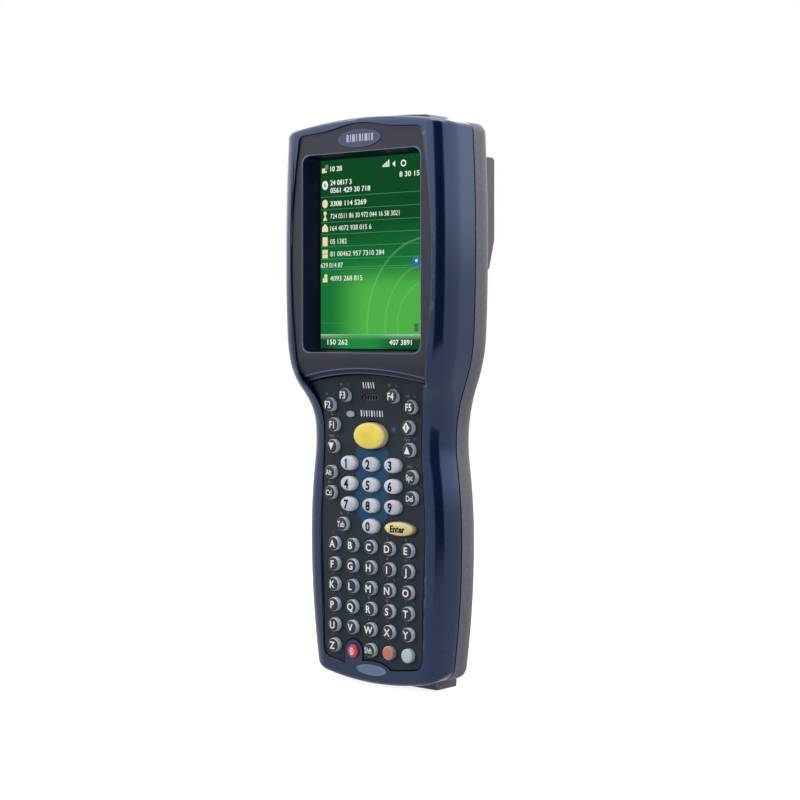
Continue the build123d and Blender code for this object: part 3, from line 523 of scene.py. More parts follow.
def screen_finish():
    """The lit picture: a green field that brightens low on the right, and a bar at its foot."""
    nodes = Finish("screen")
    settings = bpy.context.scene.terminal_screen
    width, height = settings.width, settings.height
    parts = nodes.parts(nodes.place())
    across = nodes.math("MULTIPLY_ADD", parts["X"], 1 / width, 0.5)
    u = nodes.product(across, 1 / settings.seen_share)
    offset = 0.5 - node_centre("lcd_module").z / height
    v = nodes.math("MULTIPLY_ADD", parts["Z"], 1 / height, offset)
    field = nodes.ramp(
        nodes.math("MULTIPLY_ADD", u, 0.06, nodes.inverse(v)),
        [(0.36, settings.dark), (0.58, settings.middle), (0.66, settings.middle)],
    )
    lit = nodes.product(nodes.fade(u, 0.06, 0.48), nodes.fade_out(v, 0.3, 0.47))
    field = nodes.mix(lit, field, settings.bright)
    to_right = nodes.math("SUBTRACT", u, ARC_MIDDLE[0])
    to_foot = nodes.product(nodes.math("SUBTRACT", v, ARC_MIDDLE[1]), height / width)
    ring = nodes.length(to_right, nodes.math("ABSOLUTE", to_foot))
    for radius, strength in ARCS:
        glow = nodes.fade_out(nodes.distance(ring, radius), 0.0, 0.012)
        field = nodes.mix(nodes.product(glow, strength), field, ARC_COLOUR)
    bar = nodes.ramp(nodes.product(v, 1 / BAR_SHARE), BAR_STOPS)
    glow = nodes.fade_out(nodes.distance(u, 0.42), 0.08, 0.4)
    bar = nodes.mix(nodes.product(glow, BAR_GLOW_STRENGTH), bar, BAR_GLOW)
    picture = nodes.mix(nodes.math("LESS_THAN", v, BAR_SHARE), field, bar)
    within = [nodes.math("LESS_THAN", nodes.distance(share, 0.5), 0.5) for share in (across, v)]
    return nodes.surface({
        "Base Color": (0.01, 0.012, 0.015, 1.0),
        "Roughness": 0.6,
        "Emission Color": nodes.mix(nodes.product(*within), UNLIT, picture),
        "Emission Strength": 1.0,
    })


# --- Badges ---------------------------------------------------------------------------

BADGE_DIVIDE = 0.1  # height between the two badges
BADGE_FACE = (paint("#3a4160"), paint("#444b6b"))
BADGE_RIM = paint("#6a7090")
LOWER_BADGE_FACE = paint("#667794")
LOWER_BADGE_RIDGE = paint("#7d8ba6")
RIDGE_AT = 0.8


def oval_distance(nodes, parts, node):
    """How far out a place lies on an oval piece, 0 in its middle and 1 at its outline."""
    low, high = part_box(node)
    centre, half = (low + high) / 2, (high - low) / 2
    shares = []
    for axis, reach, at in (("X", half.x, centre.x), ("Z", half.z, centre.z)):
        share = nodes.math("MULTIPLY_ADD", parts[axis], 1 / reach, -at / reach)
        shares.append(nodes.math("ABSOLUTE", share))
    return nodes.length(*shares)


def badge_finish():
    """Satin blue-grey face of a badge, paler at its outline, the lower badge with a fine ridge."""
    nodes = Finish("badge_blue")
    place = nodes.place()
    parts = nodes.parts(place)
    grains = nodes.group(moulded_grain(), place)
    is_lower = nodes.math("LESS_THAN", parts["Z"], BADGE_DIVIDE)
    face = nodes.mix(grains["Mottle"], *BADGE_FACE)
    face = nodes.mix(is_lower, face, LOWER_BADGE_FACE)
    ridge = nodes.distance(oval_distance(nodes, parts, "lower_badge"), RIDGE_AT)
    ridge = nodes.product(nodes.fade_out(ridge, 0.02, 0.08), is_lower)
    shade = nodes.mix(nodes.product(ridge, 0.6), face, LOWER_BADGE_RIDGE)
    rim = nodes.fade(oval_distance(nodes, parts, "upper_badge"), 0.93, 0.98)
    rim = nodes.product(rim, nodes.inverse(is_lower))
    return nodes.surface({
        "Base Color": nodes.mix(nodes.product(rim, 0.5), shade, BADGE_RIM),
        "Roughness": 0.4,
        "Specular IOR Level": 0.4,
        "Normal": nodes.relief(grains["Grain"], 0.1),
    })


# --- All finishes ---------------------------------------------------------------------

# Moulded finishes: slot: (colour, colour that it drifts to, roughness, other values)
MOULDED = {
    "bezel_plastic": ("#2b2d36", "#30323b", 0.38, dict(
        bump=0.2, grain=4200.0, mottle=35.0, level=0.3, tint=(0.8, 0.82, 1.0), shade_of=bezel_strip_and_painted_light
    )),
    "plate_plastic": ("#1e272f", "#232d36", 0.5, dict(
        bump=0.15, grain=4200.0, mottle=35.0, level=0.2, shade_of=keypad_zone
    )),
    "block_plastic": ("#4d4b52", "#56545b", 0.52, dict(bump=0.4, grain=1900.0, mottle=24.0)),
    "black_rubber": ("#0c0e12", "#14161a", 0.7, dict(bump=0.3)),
    "grey_rubber": ("#55585e", "#606369", 0.7, dict(bump=0.2)),
    "circuit_board": ("#0f4a2c", "#155a36", 0.45, dict(mottle=300.0)),
    "black_plastic": ("#15171b", "#1c1e23", 0.45, dict()),
    "battery_plastic": ("#26282d", "#2e3036", 0.5, dict(bump=0.4, grain=1900.0)),
    "latch_plastic": ("#2d3a52", "#354360", 0.45, dict(bump=0.3)),
    "red_window": ("#4a0e15", "#58131b", 0.12, dict(bump=0.02, level=0.22, scuff=0.02)),
    "clear_lens": ("#8d9094", "#a0a3a8", 0.25, dict(bump=0.05, coat=0.5)),
    "badge_silver": ("#b9bccd", "#aeb1c4", 0.35, dict(bump=0.05)),
    # Painted shadow: the dark band along the keypad plate's outline
    "seam_black": ("#05070c", "#080a10", 0.7, dict(bump=0.05, level=0.1)),
    "print_white": ("#f6f7f9", "#eef0f3", 0.5, dict(bump=0.05)),
    "print_black": ("#0b0d11", "#101318", 0.5, dict(bump=0.05, level=0.1)),
    "print_orange": ("#84695a", "#765e50", 0.5, dict(bump=0.05)),
    "print_blue": ("#4d6a80", "#456075", 0.5, dict(bump=0.05)),
}
# Key caps: slot: (body, printed disc, its reach, roughness, rim: painted light and shade on the cap's
# walls, paler on the digit and scan caps, darker on the enter cap)
CAPS = {
    "digit_cap": ("#bdc0d0", None, 0.0, 0.22, "#d3d6e2"),
    "scan_yellow": ("#f0d458", None, 0.0, 0.34, "#e0d9b4"),
    "enter_yellow": ("#dccb8e", None, 0.0, 0.34, "#a39f7c"),
    "power_red": ("#b0304c", "#c8485f", 0.8, 0.34, None),
    "orange_cap": ("#a09ba4", "#d0735a", 0.84, 0.34, None),
    "pale_blue_cap": ("#b4c2c8", "#b3ccd3", 0.86, 0.34, None),
}
LIT_MARKS = {
    "lit_white": (0.85, 0.92, 0.84),
    "lit_cream": paint("#e9dcb4"),
    "lit_green": paint("#4c9463"),
    "lit_blue": paint("#2f6f96"),
    "lit_grey": paint("#4b6b52"),
}

made_finishes = {}


def finishes():
    """Every slot's finish, made once and kept by name."""
    if made_finishes:
        return made_finishes
    shell = bpy.context.scene.terminal_shell
    keys = bpy.context.scene.terminal_keys
    made_finishes.update(
        navy_shell=moulded(
            "navy_shell", shell.navy, shell.navy_drift, 0.13, bump=0.05, grain=5200.0, mottle=28.0,
            fleck=0.02, fleck_share=0.12, level=0.85, tint=(0.52, 0.66, 1.0), scuff=0.0,
        ),
        # The rear shell's finish carries a painted shadow along its gap to the front shell
        grey_shell=moulded(
            "grey_shell", shell.rear, shell.rear_drift, 0.5, bump=0.4, grain=1900.0, mottle=24.0,
            fleck=0.06, fleck_share=0.15, shade_of=rear_gap_shadow,
        ),
        key_cap=printed_cap("key_cap", keys.cap_colour, keys.ink_colour, keys.ink_reach, 0.3),
        touch_glass=glass("touch_glass", (0.97, 0.99, 0.98), 0.02, ior=1.05),
        screen=screen_finish(),
        badge_blue=badge_finish(),
        steel=metal("steel", paint("#b9bcc2"), 0.28),
    )
    for name, (colour, drift, roughness, values) in MOULDED.items():
        made_finishes[name] = moulded(name, paint(colour), paint(drift), roughness, **values)
    for name, (body, ink, reach, roughness, rim) in CAPS.items():
        body, ink, rim = (code and paint(code) for code in (body, ink, rim))
        made_finishes[name] = printed_cap(name, body, ink, reach, roughness, rim)
    for name, colour in LIT_MARKS.items():
        made_finishes[name] = glowing(name, colour)
    return made_finishes


# --- Making and placing meshes --------------------------------------------------------

CREASE = 28.0
INK_THICKNESS = 0.03 * MM
CAPITAL_SHARE = 0.729  # height of the lettering's capitals as a share of its size
FACING_FRONT = Matrix.Rotation(math.radians(90), 4, "X")

kept_faces = []


def add_piece(name, mesh, finish, body="housing", replaced=()):
    """A finished piece at the origin that rides on a body."""
    piece = bpy.data.objects.new(name, mesh)
    bpy.context.scene.collection.objects.link(piece)
    mesh.materials.clear()
    mesh.materials.append(finishes()[finish])
    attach(piece, body)
    if replaced:
        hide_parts(*replaced)
    return piece


def finish_node(name):
    """Gives a CAD node that stays in view the finish of its slot."""
    frame["nodes"][name].data.materials[0] = finishes()[SLOTS[name]]


def evaluated_mesh(piece):
    """A plain mesh of the object with its modifiers applied."""
    bpy.context.view_layer.update()
    seen = bpy.context.evaluated_depsgraph_get()
    return bpy.data.meshes.new_from_object(piece.evaluated_get(seen), depsgraph=seen)


def made_mesh(bm, name):
    """The mesh of a finished bmesh."""
    mesh = bpy.data.meshes.new(name)
    bm.to_mesh(mesh)
    bm.free()
    return mesh


def smooth_node(name, crease=CREASE):
    """Stands in for a CAD node: the same shape, merged, smooth up to the crease angle."""
    bm = merged_node(name)
    small_turn = math.radians(0.4)
    bmesh.ops.dissolve_limit(
        bm, angle_limit=small_turn, verts=bm.verts, edges=bm.edges, delimit={"NORMAL"}
    )
    mesh = made_mesh(bm, name + "_merged")
    for polygon in mesh.polygons:
        polygon.use_smooth = True
    mesh.set_sharp_from_angle(angle=math.radians(crease))
    scratch = bpy.data.objects.new("scratch", mesh)
    bpy.context.scene.collection.objects.link(scratch)
    scratch.modifiers.new("weight", "WEIGHTED_NORMAL").keep_sharp = True
    mesh = evaluated_mesh(scratch)
    bpy.data.objects.remove(scratch)
    slot = SLOTS[name]
    return add_piece(name + "_finished", mesh, slot, body_of_node(name), (name,))


def text_mesh(words, height, weight=0.0, thickness=INK_THICKNESS, stretch=1.0):
    """Flat lettering in local X and Y, centred, its capitals as high as asked."""
    curve = bpy.data.curves.new("lettering", "FONT")
    curve.body = words
    curve.resolution_u = 3
    curve.size = height / CAPITAL_SHARE
    curve.extrude = thickness
    curve.offset = weight * height
    scratch = bpy.data.objects.new("lettering", curve)
    mesh = bpy.data.meshes.new_from_object(scratch)
    bpy.data.objects.remove(scratch)
    bpy.data.curves.remove(curve)
    xs = [vert.co.x for vert in mesh.vertices]
    centre = (min(xs) + max(xs)) / 2
    mesh.transform(Matrix.Translation((-centre, -height / 2, 0)))
    mesh.transform(Matrix.Diagonal((stretch, 1.0, 1.0, 1.0)))
    return mesh


def outline_mesh(points, thickness=INK_THICKNESS):
    """A thin plate with that outline in local X and Y."""
    bm = bmesh.new()
    under, over = [[bm.verts.new((x, y, z)) for x, y in points] for z in (-thickness, thickness)]
    bm.faces.new(under[::-1])
    bm.faces.new(over)
    for i in range(len(points)):
        bm.faces.new((under[i - 1], under[i], over[i], over[i - 1]))
    bmesh.ops.recalc_face_normals(bm, faces=bm.faces)
    return made_mesh(bm, "outline")


def ring_points(half_width, half_height, count=24):
    """Points round an ellipse."""
    angles = [math.tau * i / count for i in range(count)]
    return [(half_width * math.cos(angle), half_height * math.sin(angle)) for angle in angles]


def ring_parts(half_width, half_height, inner_share, count=24):
    """Corner points of the quads of a flat oval ring."""
    outer = ring_points(half_width, half_height, count)
    inner = [(x * inner_share, y * inner_share) for x, y in outer]
    onward = [(i, (i + 1) % count) for i in range(count)]
    return [[outer[i], outer[j], inner[j], inner[i]] for i, j in onward]


def box_points(half_width, half_height):
    """Corners of a rectangle."""
    signs = ((-1, -1), (1, -1), (1, 1), (-1, 1))
    return [(x * half_width, y * half_height) for x, y in signs]


def plate_faces():
    """The keypad plate's faces, kept for looking up its height."""
    if not kept_faces:
        mesh = frame["nodes"]["keypad_plate"].data
        corners = [vert.co for vert in mesh.vertices]
        faces = [tuple(face.vertices) for face in mesh.polygons]
        kept_faces.append(BVHTree.FromPolygons(corners, faces))
    return kept_faces[0]


def laid_on_plate(x, z):
    """Turns and moves a flat part so that it lies on the keypad plate in front of (x, z)."""
    before, backward = Vector((x, -1.0, z)), Vector((0.0, 1.0, 0.0))
    spot, normal, _, _ = plate_faces().ray_cast(before, backward)
    if normal.y > 0:
        normal = -normal
    lean = math.atan2(-normal.z, -normal.y)
    return Matrix.Translation(spot) @ Matrix.Rotation(lean, 4, "X")


def gathered(parts, y, name):
    """One mesh of flat parts, each (mesh, x, z), laid on the plane at y, or on the plate."""
    bm = bmesh.new()
    for mesh, x, z in parts:
        laid = laid_on_plate(x, z) if y is None else Matrix.Translation((x, y, z))
        mesh.transform(laid @ FACING_FRONT)
        bm.from_mesh(mesh)
        bpy.data.meshes.remove(mesh)
    return made_mesh(bm, name)


# --- Geometry Nodes: key caps and screws ----------------------------------------------

GEOMETRY = ("Geometry", "NodeSocketGeometry", None)
FINISH_INPUT = ("Finish", "NodeSocketMaterial", None)
CAP_INPUTS = [
    GEOMETRY,
    ("Half width", "NodeSocketFloat", 2.6 * MM),
    ("Half height", "NodeSocketFloat", 2.6 * MM),
    ("Rise", "NodeSocketFloat", 2.9 * MM),
    ("Sink", "NodeSocketFloat", 2.0 * MM),
    ("Squareness", "NodeSocketFloat", 7.0),
    ("Sides", "NodeSocketInt", 36),
    ("Rings", "NodeSocketInt", 18),
    FINISH_INPUT,
]
SCREW_INPUTS = [
    GEOMETRY,
    ("Head radius", "NodeSocketFloat", 2.6 * MM),
    ("Head height", "NodeSocketFloat", 1.8 * MM),
    ("Shank radius", "NodeSocketFloat", 1.25 * MM),
    ("Shank length", "NodeSocketFloat", 10.0 * MM),
    ("Socket radius", "NodeSocketFloat", 1.2 * MM),
    ("Socket depth", "NodeSocketFloat", 1.1 * MM),
    FINISH_INPUT,
]
HEAD_SIDES, SOCKET_SIDES, SHANK_SIDES = 28, 6, 16


def grown_mesh(tree, places, values):
    """The plain mesh that a node tree makes at the places, with its named inputs set."""
    seeds = bpy.data.meshes.new("seeds")
    seeds.from_pydata([tuple(place) for place in places], [], [])
    scratch = bpy.data.objects.new("seeds", seeds)
    bpy.context.scene.collection.objects.link(scratch)
    modifier = scratch.modifiers.new("grow", "NODES")
    modifier.node_group = tree
    identifiers = {
        item.name: item.identifier for item in tree.interface.items_tree if item.in_out == "INPUT"
    }
    for name, value in values.items():
        modifier[identifiers[name]] = value
    mesh = evaluated_mesh(scratch)
    scratch.modifiers.remove(modifier)
    bpy.data.objects.remove(scratch)
    return mesh


def end_tree(nodes, geometry, given):
    """Instances the geometry on the given points, realizes it and sets its material."""
    on_points = {"Points": given["Geometry"], "Instance": geometry}
    copies = nodes.add("GeometryNodeInstanceOnPoints", on_points).outputs[0]
    real = nodes.add("GeometryNodeRealizeInstances", {"Geometry": copies}).outputs[0]
    coat = {"Geometry": real, "Material": given["Finish"]}
    nodes.add("NodeGroupOutput", {0: nodes.add("GeometryNodeSetMaterial", coat).outputs[0]})


def cap_tree():
    """Key caps: an oval outline, straight walls and a softly domed top towards -Y."""

    def fill(nodes, given):
        ball = {"Segments": given["Sides"], "Rings": given["Rings"], "Radius": 1.0}
        ball = nodes.add("GeometryNodeMeshUVSphere", ball).outputs["Mesh"]
        at = nodes.parts(nodes.add("GeometryNodeInputPosition").outputs[0])
        squeeze = nodes.math("DIVIDE", 2.0, given["Squareness"])
        radius = nodes.math("MAXIMUM", nodes.length(at["X"], at["Y"]), 0.00001)
        grown = nodes.math("POWER", radius, squeeze)
        factor = nodes.math("DIVIDE", grown, radius)
        lift = nodes.math("POWER", nodes.math("ABSOLUTE", at["Z"]), squeeze)
        above = nodes.math("GREATER_THAN", at["Z"], 0.0)
        below = nodes.inverse(above)
        height = nodes.math(
            "SUBTRACT",
            nodes.product(lift, given["Rise"], above),
            nodes.product(lift, given["Sink"], below),
        )
        place = {
            "X": nodes.product(at["X"], factor, given["Half width"]),
            "Y": nodes.product(height, -1.0),
            "Z": nodes.product(at["Y"], factor, given["Half height"]),
        }
        place = nodes.add("ShaderNodeCombineXYZ", place).outputs["Vector"]
        outward = nodes.math("ADD", nodes.product(grown, above), below)
        marked = nodes.add(
            "GeometryNodeStoreNamedAttribute",
            {"Geometry": ball, "Name": "from_centre", "Value": outward},
            data_type="FLOAT",
            domain="POINT",
        ).outputs[0]
        moved = {"Geometry": marked, "Position": place}
        shaped = nodes.add("GeometryNodeSetPosition", moved).outputs[0]
        smooth = nodes.add("GeometryNodeSetShadeSmooth", {"Geometry": shaped}).outputs[0]
        end_tree(nodes, smooth, given)

    return kept_tree("domed_caps", "GeometryNodeTree", CAP_INPUTS, [GEOMETRY], fill)


def screw_tree():
    """Screws: a round head towards +Y with a six-sided socket, on a plain shank."""

    def fill(nodes, given):
        def cylinder(sides, radius, length, lift):
            inputs = {"Vertices": sides, "Radius": radius, "Depth": length}
            solid = nodes.add("GeometryNodeMeshCylinder", inputs).outputs["Mesh"]
            lift = nodes.add("ShaderNodeCombineXYZ", {"Z": lift}).outputs["Vector"]
            moved = {"Geometry": solid, "Translation": lift}
            return nodes.add("GeometryNodeTransform", moved).outputs["Geometry"]

        head_height, shank_length = given["Head height"], given["Shank length"]
        half_head = nodes.product(head_height, 0.5)
        head = cylinder(HEAD_SIDES, given["Head radius"], head_height, half_head)
        socket_length = nodes.product(given["Socket depth"], 2.0)
        socket = cylinder(SOCKET_SIDES, given["Socket radius"], socket_length, head_height)
        cut = {0: head, 1: socket}
        cut = nodes.add("GeometryNodeMeshBoolean", cut, operation="DIFFERENCE").outputs["Mesh"]
        half_down = nodes.product(shank_length, -0.5)
        shank = cylinder(SHANK_SIDES, given["Shank radius"], shank_length, half_down)
        joined = nodes.add("GeometryNodeJoinGeometry")
        for piece in (cut, shank):
            nodes.tree.links.new(piece, joined.inputs["Geometry"])
        turn = {"Geometry": joined.outputs["Geometry"], "Rotation": (-math.pi / 2, 0.0, 0.0)}
        end_tree(nodes, nodes.add("GeometryNodeTransform", turn).outputs["Geometry"], given)

    return kept_tree("socket_screws", "GeometryNodeTree", SCREW_INPUTS, [GEOMETRY], fill)


# --- The keys -------------------------------------------------------------------------

KEY_NAMES = [
    name for name in frame["nodes"] if name.endswith("_key") or name.startswith("letter_key")
]
LETTERS = "ABCDEFGHIJKLMNOPQRSTUVWXYZ"
GRILLE_LIFT = 0.7 * MM
SOFT_SLOTS = ("digit_cap", "enter_yellow")
KEY_WORDS = {
    "tab_key": "Tab", "alt_key": "Alt", "control_key": "Ctl", "space_key": "Spc",
    "delete_key": "Del", "shift_key": "Shft", "enter_key": "Enter",
    "f1_key": "F1", "f2_key": "F2", "f3_key": "F3", "f4_key": "F4", "f5_key": "F5",
}
# Words of a kind: (height setting, share of that height, weight, stretch)
WORD_STYLES = {
    "short": ("letter_height", 1.0, 0.8, 0.86),
    "long": ("word_height", 1.0, 0.5, 0.8),
    "enter": ("letter_height", 0.9, 1.6, 0.95),
}
DIGIT_WEIGHT = 1.6
DIGIT_STRETCH = 0.9
# The 1's flag in shares of the digit's half height
FLAG = ((0.02, 1.0), (-0.46, 0.6), (-0.46, 0.36), (0.02, 0.68))
DIAMOND_SHARE = 0.72
POWER_RING = (0.68, 0.66)  # width and inner share of the ring
POWER_BAR = (0.13, 0.4)


def letters_of(node):
    """The letters on the keys of a letter row, from left to right."""
    first = node.removeprefix("letter_keys_").removeprefix("letter_key_")[0].upper()
    start = LETTERS.index(first)
    return LETTERS[start : start + len(solid_boxes(node))]


def key_centres(node):
    """Middle of each key in a node, on the flat part of the keypad plate."""
    face = -front_height("speaker_grille") + GRILLE_LIFT
    return [
        Vector(((low.x + high.x) / 2, face, (low.z + high.z) / 2))
        for low, high in solid_boxes(node)
    ]


class TERMINAL_OT_key_caps(bpy.types.Operator):
    """Build the domed caps of all keys"""

    bl_idname = "terminal.key_caps"
    bl_label = "Key Caps"

    def execute(self, context):
        settings = context.scene.terminal_keys
        for node in KEY_NAMES:
            low, high = solid_boxes(node)[0]
            centres = key_centres(node)
            slot = SLOTS[node]
            soft = slot in SOFT_SLOTS
            values = {
                "Half width": (high.x - low.x) / 2 - settings.base_margin,
                "Half height": (high.z - low.z) / 2 - settings.base_margin,
                "Rise": front_height(node) + centres[0].y,
                "Sink": settings.sink,
                "Squareness": settings.soft_squareness if soft else settings.squareness,
                "Finish": finishes()[slot],
            }
            mesh = grown_mesh(cap_tree(), centres, values)
            add_piece(node + "_cap", mesh, slot, body_of_node(node), (node,))
        return {"FINISHED"}


class TERMINAL_OT_legends(bpy.types.Operator):
    """Print the letters, digits and signs on the keys"""

    bl_idname = "terminal.legends"
    bl_label = "Key Legends"

    def execute(self, context):
        settings = context.scene.terminal_keys
        for node in KEY_NAMES:
            parts = self.signs(node, settings)
            if parts:
                dark = node.startswith("digit") or node == "enter_key"
                mesh = gathered(parts, -front_height(node), node + "_legend")
                finish = "print_black" if dark else "print_white"
                add_piece(node + "_legend", mesh, finish, body_of_node(node))
        return {"FINISHED"}

    def signs(self, node, settings):
        """The flat meshes of a node's legends with their places."""
        shift = Vector((settings.letter_shift, 0, 0))
        centres = [centre - shift for centre in key_centres(node)]
        x, z = centres[0].x, centres[0].z
        weight, height = settings.letter_weight, settings.letter_height
        if node.startswith("letter_key"):
            return [
                (text_mesh(letter, height, weight), centre.x, centre.z)
                for letter, centre in zip(letters_of(node), centres)
            ]
        if node.startswith("digit"):
            x += settings.letter_shift - settings.digit_shift
            meshes = digit_sign(node.split("_")[1], settings.digit_height, weight * DIGIT_WEIGHT)
        elif node in KEY_WORDS:
            words = KEY_WORDS[node]
            kind = "enter" if node == "enter_key" else "long" if len(words) > 2 else "short"
            name, share, weight_share, stretch = WORD_STYLES[kind]
            high = getattr(settings, name) * share
            meshes = [text_mesh(words, high, weight * weight_share, stretch=stretch)]
        elif node in ("up_key", "down_key"):
            across, up = height / 2, height / 2 if node == "up_key" else -height / 2
            meshes = [outline_mesh([(-across, -up), (across, -up), (0, up)])]
        elif node == "diamond_key":
            meshes = diamond_sign(height * DIAMOND_SHARE)
        elif node == "power_key":
            meshes = power_sign(height / 2)
        else:
            meshes = []
        return [(mesh, x, z) for mesh in meshes]


def digit_sign(digit, height, weight):
    """A digit, the 1 with a flag."""
    meshes = [text_mesh(digit, height, weight, stretch=DIGIT_STRETCH)]
    if digit == "1":
        meshes.append(outline_mesh([(x * height / 2, y * height / 2) for x, y in FLAG]))
    return meshes


def diamond_sign(reach):
    """A filled diamond with an upright bar left open in its middle."""
    outer = [(-0.86 * reach, 0), (0, -reach), (0.86 * reach, 0), (0, reach)]
    inner = box_points(0.13 * reach, 0.5 * reach)
    corners = [(0, 1), (1, 2), (2, 3), (3, 0)]
    return [outline_mesh([outer[i], outer[j], inner[j], inner[i]]) for i, j in corners]


def power_sign(reach):
    """A narrow upright ring round a short bar."""
    width, inner_share = POWER_RING
    ring = ring_parts(width * reach, reach, inner_share)
    bar = box_points(*(share * reach for share in POWER_BAR))
    return [outline_mesh(points) for points in (*ring, bar)]


# --- Print on the keypad plate --------------------------------------------------------

ORANGE_MARKS = {
    "f1_key": "F6", "f2_key": "F7", "f3_key": "F8", "f4_key": "F9", "f5_key": "F10",
    "down_key": "PgDn", "up_key": "PgUp", "space_key": "BkSp", "control_key": "Ins",
    "tab_key": "Bk",
}
BLUE_MARKS = {
    "f1_key": "1", "f2_key": "2", "f3_key": "3", "f4_key": "4", "f5_key": "5",
    "down_key": "<", "up_key": ">", "space_key": "*", "delete_key": "+", "alt_key": "-",
    "tab_key": "0",
}
ORANGE_LETTER_MARKS = "|~-)&.,'#$+:;/<=\"%@!?^{}[]"
BLUE_LETTER_MARKS = "  '   /* 7 0 8-= (_9 ;]  ".ljust(len(LETTERS))
# Rows of upright bars: (height over the grille's middle, pitch, widths), all in millimetres
BAR_ROWS = (
    (4.6, 1.25, (0.5, 0.25, 0.6, 0.3, 0.5)),
    (-6.0, 1.3, (0.6, 0.3, 0.5, 0.25, 0.6, 0.3, 0.25, 0.55, 0.3)),
)
# The dotted ring beside the scan key
SIDE_SIGN_GAP = 2.2 * MM
SIDE_SIGN_RISE = 2.6 * MM
SIDE_RING_RADIUS = 0.7 * MM
SIDE_RING_SHARE = 0.6
SIDE_DOTS = 8
SIDE_DOT_REACH = 1.15 * MM
SIDE_DOT_SIZE = 0.13 * MM


def front_outline(name):
    """The points of the longest closed outline of a node's forward-facing faces, in order."""
    bm = merged_node(name)
    bm.normal_update()
    onward = {}
    for edge in bm.edges:
        front = [face for face in edge.link_faces if face.normal.y < -0.5]
        if len(front) == 1:
            a, b = edge.verts
            onward.setdefault(a, []).append(b)
            onward.setdefault(b, []).append(a)
    loops = []
    waiting = dict.fromkeys(onward)
    while waiting:
        following = [next(iter(waiting))]
        loop = []
        while following:
            loop.append(following[0])
            del waiting[following[0]]
            following = [vert for vert in onward[loop[-1]] if vert in waiting]
        loops.append([vert.co.copy() for vert in loop])
    bm.free()
    return max(loops, key=lambda points: sum((b - a).length for a, b in zip(points, points[1:])))


def shadow_band_mesh(name, width):
    """A thin dark band of painted shadow on a node's front, just inside its outline."""
    points = front_outline(name)
    if sum(a.x * b.z - b.x * a.z for a, b in zip(points, points[1:] + points[:1])) < 0:
        points.reverse()
    bm = bmesh.new()
    proud = Vector((0.0, -INK_THICKNESS, 0.0))
    rows = []
    for before, point, after in zip(points[-1:] + points, points, points[1:] + points[:1]):
        along = (after - before).normalized()
        inward = Vector((-along.z, 0.0, along.x)).normalized()
        rows.append([bm.verts.new(point + inward * step + proud) for step in (0.0, width)])
    for (outer, inner), (next_outer, next_inner) in zip(rows, rows[1:] + rows[:1]):
        bm.faces.new((outer, next_outer, next_inner, inner))
    return made_mesh(bm, "seam")


class TERMINAL_OT_plate_print(bpy.types.Operator):
    """Print the marks and bars on the keypad plate and lay a band of painted shadow along its outline
    """

    bl_idname = "terminal.plate_print"
    bl_label = "Plate Print"

    def execute(self, context):
        settings = context.scene.terminal_keys
        marks = {"print_orange": [], "print_blue": []}
        for node in KEY_NAMES:
            for i, centre in enumerate(key_centres(node)):
                for side, finish, word in zip((-1, 1), marks, self.words(node, i)):
                    if word.strip():
                        mesh = text_mesh(
                            word, settings.mark_height, settings.mark_weight, stretch=0.85
                        )
                        x = centre.x + side * settings.mark_spread
                        marks[finish].append((mesh, x, centre.z + settings.mark_rise))
        # A dark band of painted shadow where the plate meets the front shell
        add_piece("plate_seam", shadow_band_mesh("keypad_plate", settings.shadow_band_width), "seam_black")
        marks["print_white"] = self.bars(settings)
        marks["print_blue"] += self.side_signs()
        for finish, parts in marks.items():
            add_piece("plate_" + finish, gathered(parts, None, "marks"), finish)
        return {"FINISHED"}

    def words(self, node, i):
        """The orange and the blue mark above a node's key."""
        if node.startswith("letter_key"):
            index = LETTERS.index(letters_of(node)[i])
            return ORANGE_LETTER_MARKS[index], BLUE_LETTER_MARKS[index]
        return ORANGE_MARKS.get(node, " "), BLUE_MARKS.get(node, " ")

    def bars(self, settings):
        """Two rows of plain upright bars, over and under the speaker grille."""
        grille = node_centre("speaker_grille")
        parts = []
        for rise, pitch, widths in BAR_ROWS:
            for i, wide in enumerate(widths):
                x = grille.x + (i - (len(widths) - 1) / 2) * pitch * MM
                mesh = outline_mesh(box_points(wide * MM / 2, settings.bar_height / 2))
                parts.append((mesh, x, grille.z + rise * MM))
        return parts

    def side_signs(self):
        """A small dotted ring beside the scan key."""
        low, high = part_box("scan_key")
        x, z = high.x + SIDE_SIGN_GAP, (low.z + high.z) / 2 + SIDE_SIGN_RISE
        ring = ring_parts(SIDE_RING_RADIUS, SIDE_RING_RADIUS, SIDE_RING_SHARE, count=12)
        parts = [(outline_mesh(points), x, z) for points in ring]
        for across, up in ring_points(SIDE_DOT_REACH, SIDE_DOT_REACH, SIDE_DOTS):
            dot = outline_mesh(box_points(SIDE_DOT_SIZE, SIDE_DOT_SIZE))
            parts.append((dot, x + across, z + up))
        return parts


# --- Shells and front panels ----------------------------------------------------------

LONG_EDGE_RADIUS = 8.5 * MM
REAR_CREASE = 19.0


def even_long_edges(mesh):
    """Gives the head's rounded long edges the normals of their round, free of uneven facets."""
    low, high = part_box("front_housing")
    foot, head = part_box("keypad_plate")[1].z, high.z - 2 * LONG_EDGE_RADIUS
    centre = low.y + LONG_EDGE_RADIUS
    normals = [corner.vector.copy() for corner in mesh.corner_normals]
    for polygon in mesh.polygons:
        for corner in polygon.loop_indices:
            at = mesh.vertices[mesh.loops[corner].vertex_index].co
            now = normals[corner]
            if at.y > centre or not foot < at.z < head or at.x * now.x <= 0:
                continue
            forward = min(1.0, (centre - at.y) / LONG_EDGE_RADIUS)
            sideways = Vector((now.x, 0.0, now.z)).normalized() * math.sqrt(1 - forward * forward)
            even = sideways - Vector((0.0, forward, 0.0))
            if even.dot(now) > 0.9 and even.dot(polygon.normal) > 0.88:
                normals[corner] = even
    mesh.normals_split_custom_set([tuple(normal) for normal in normals])


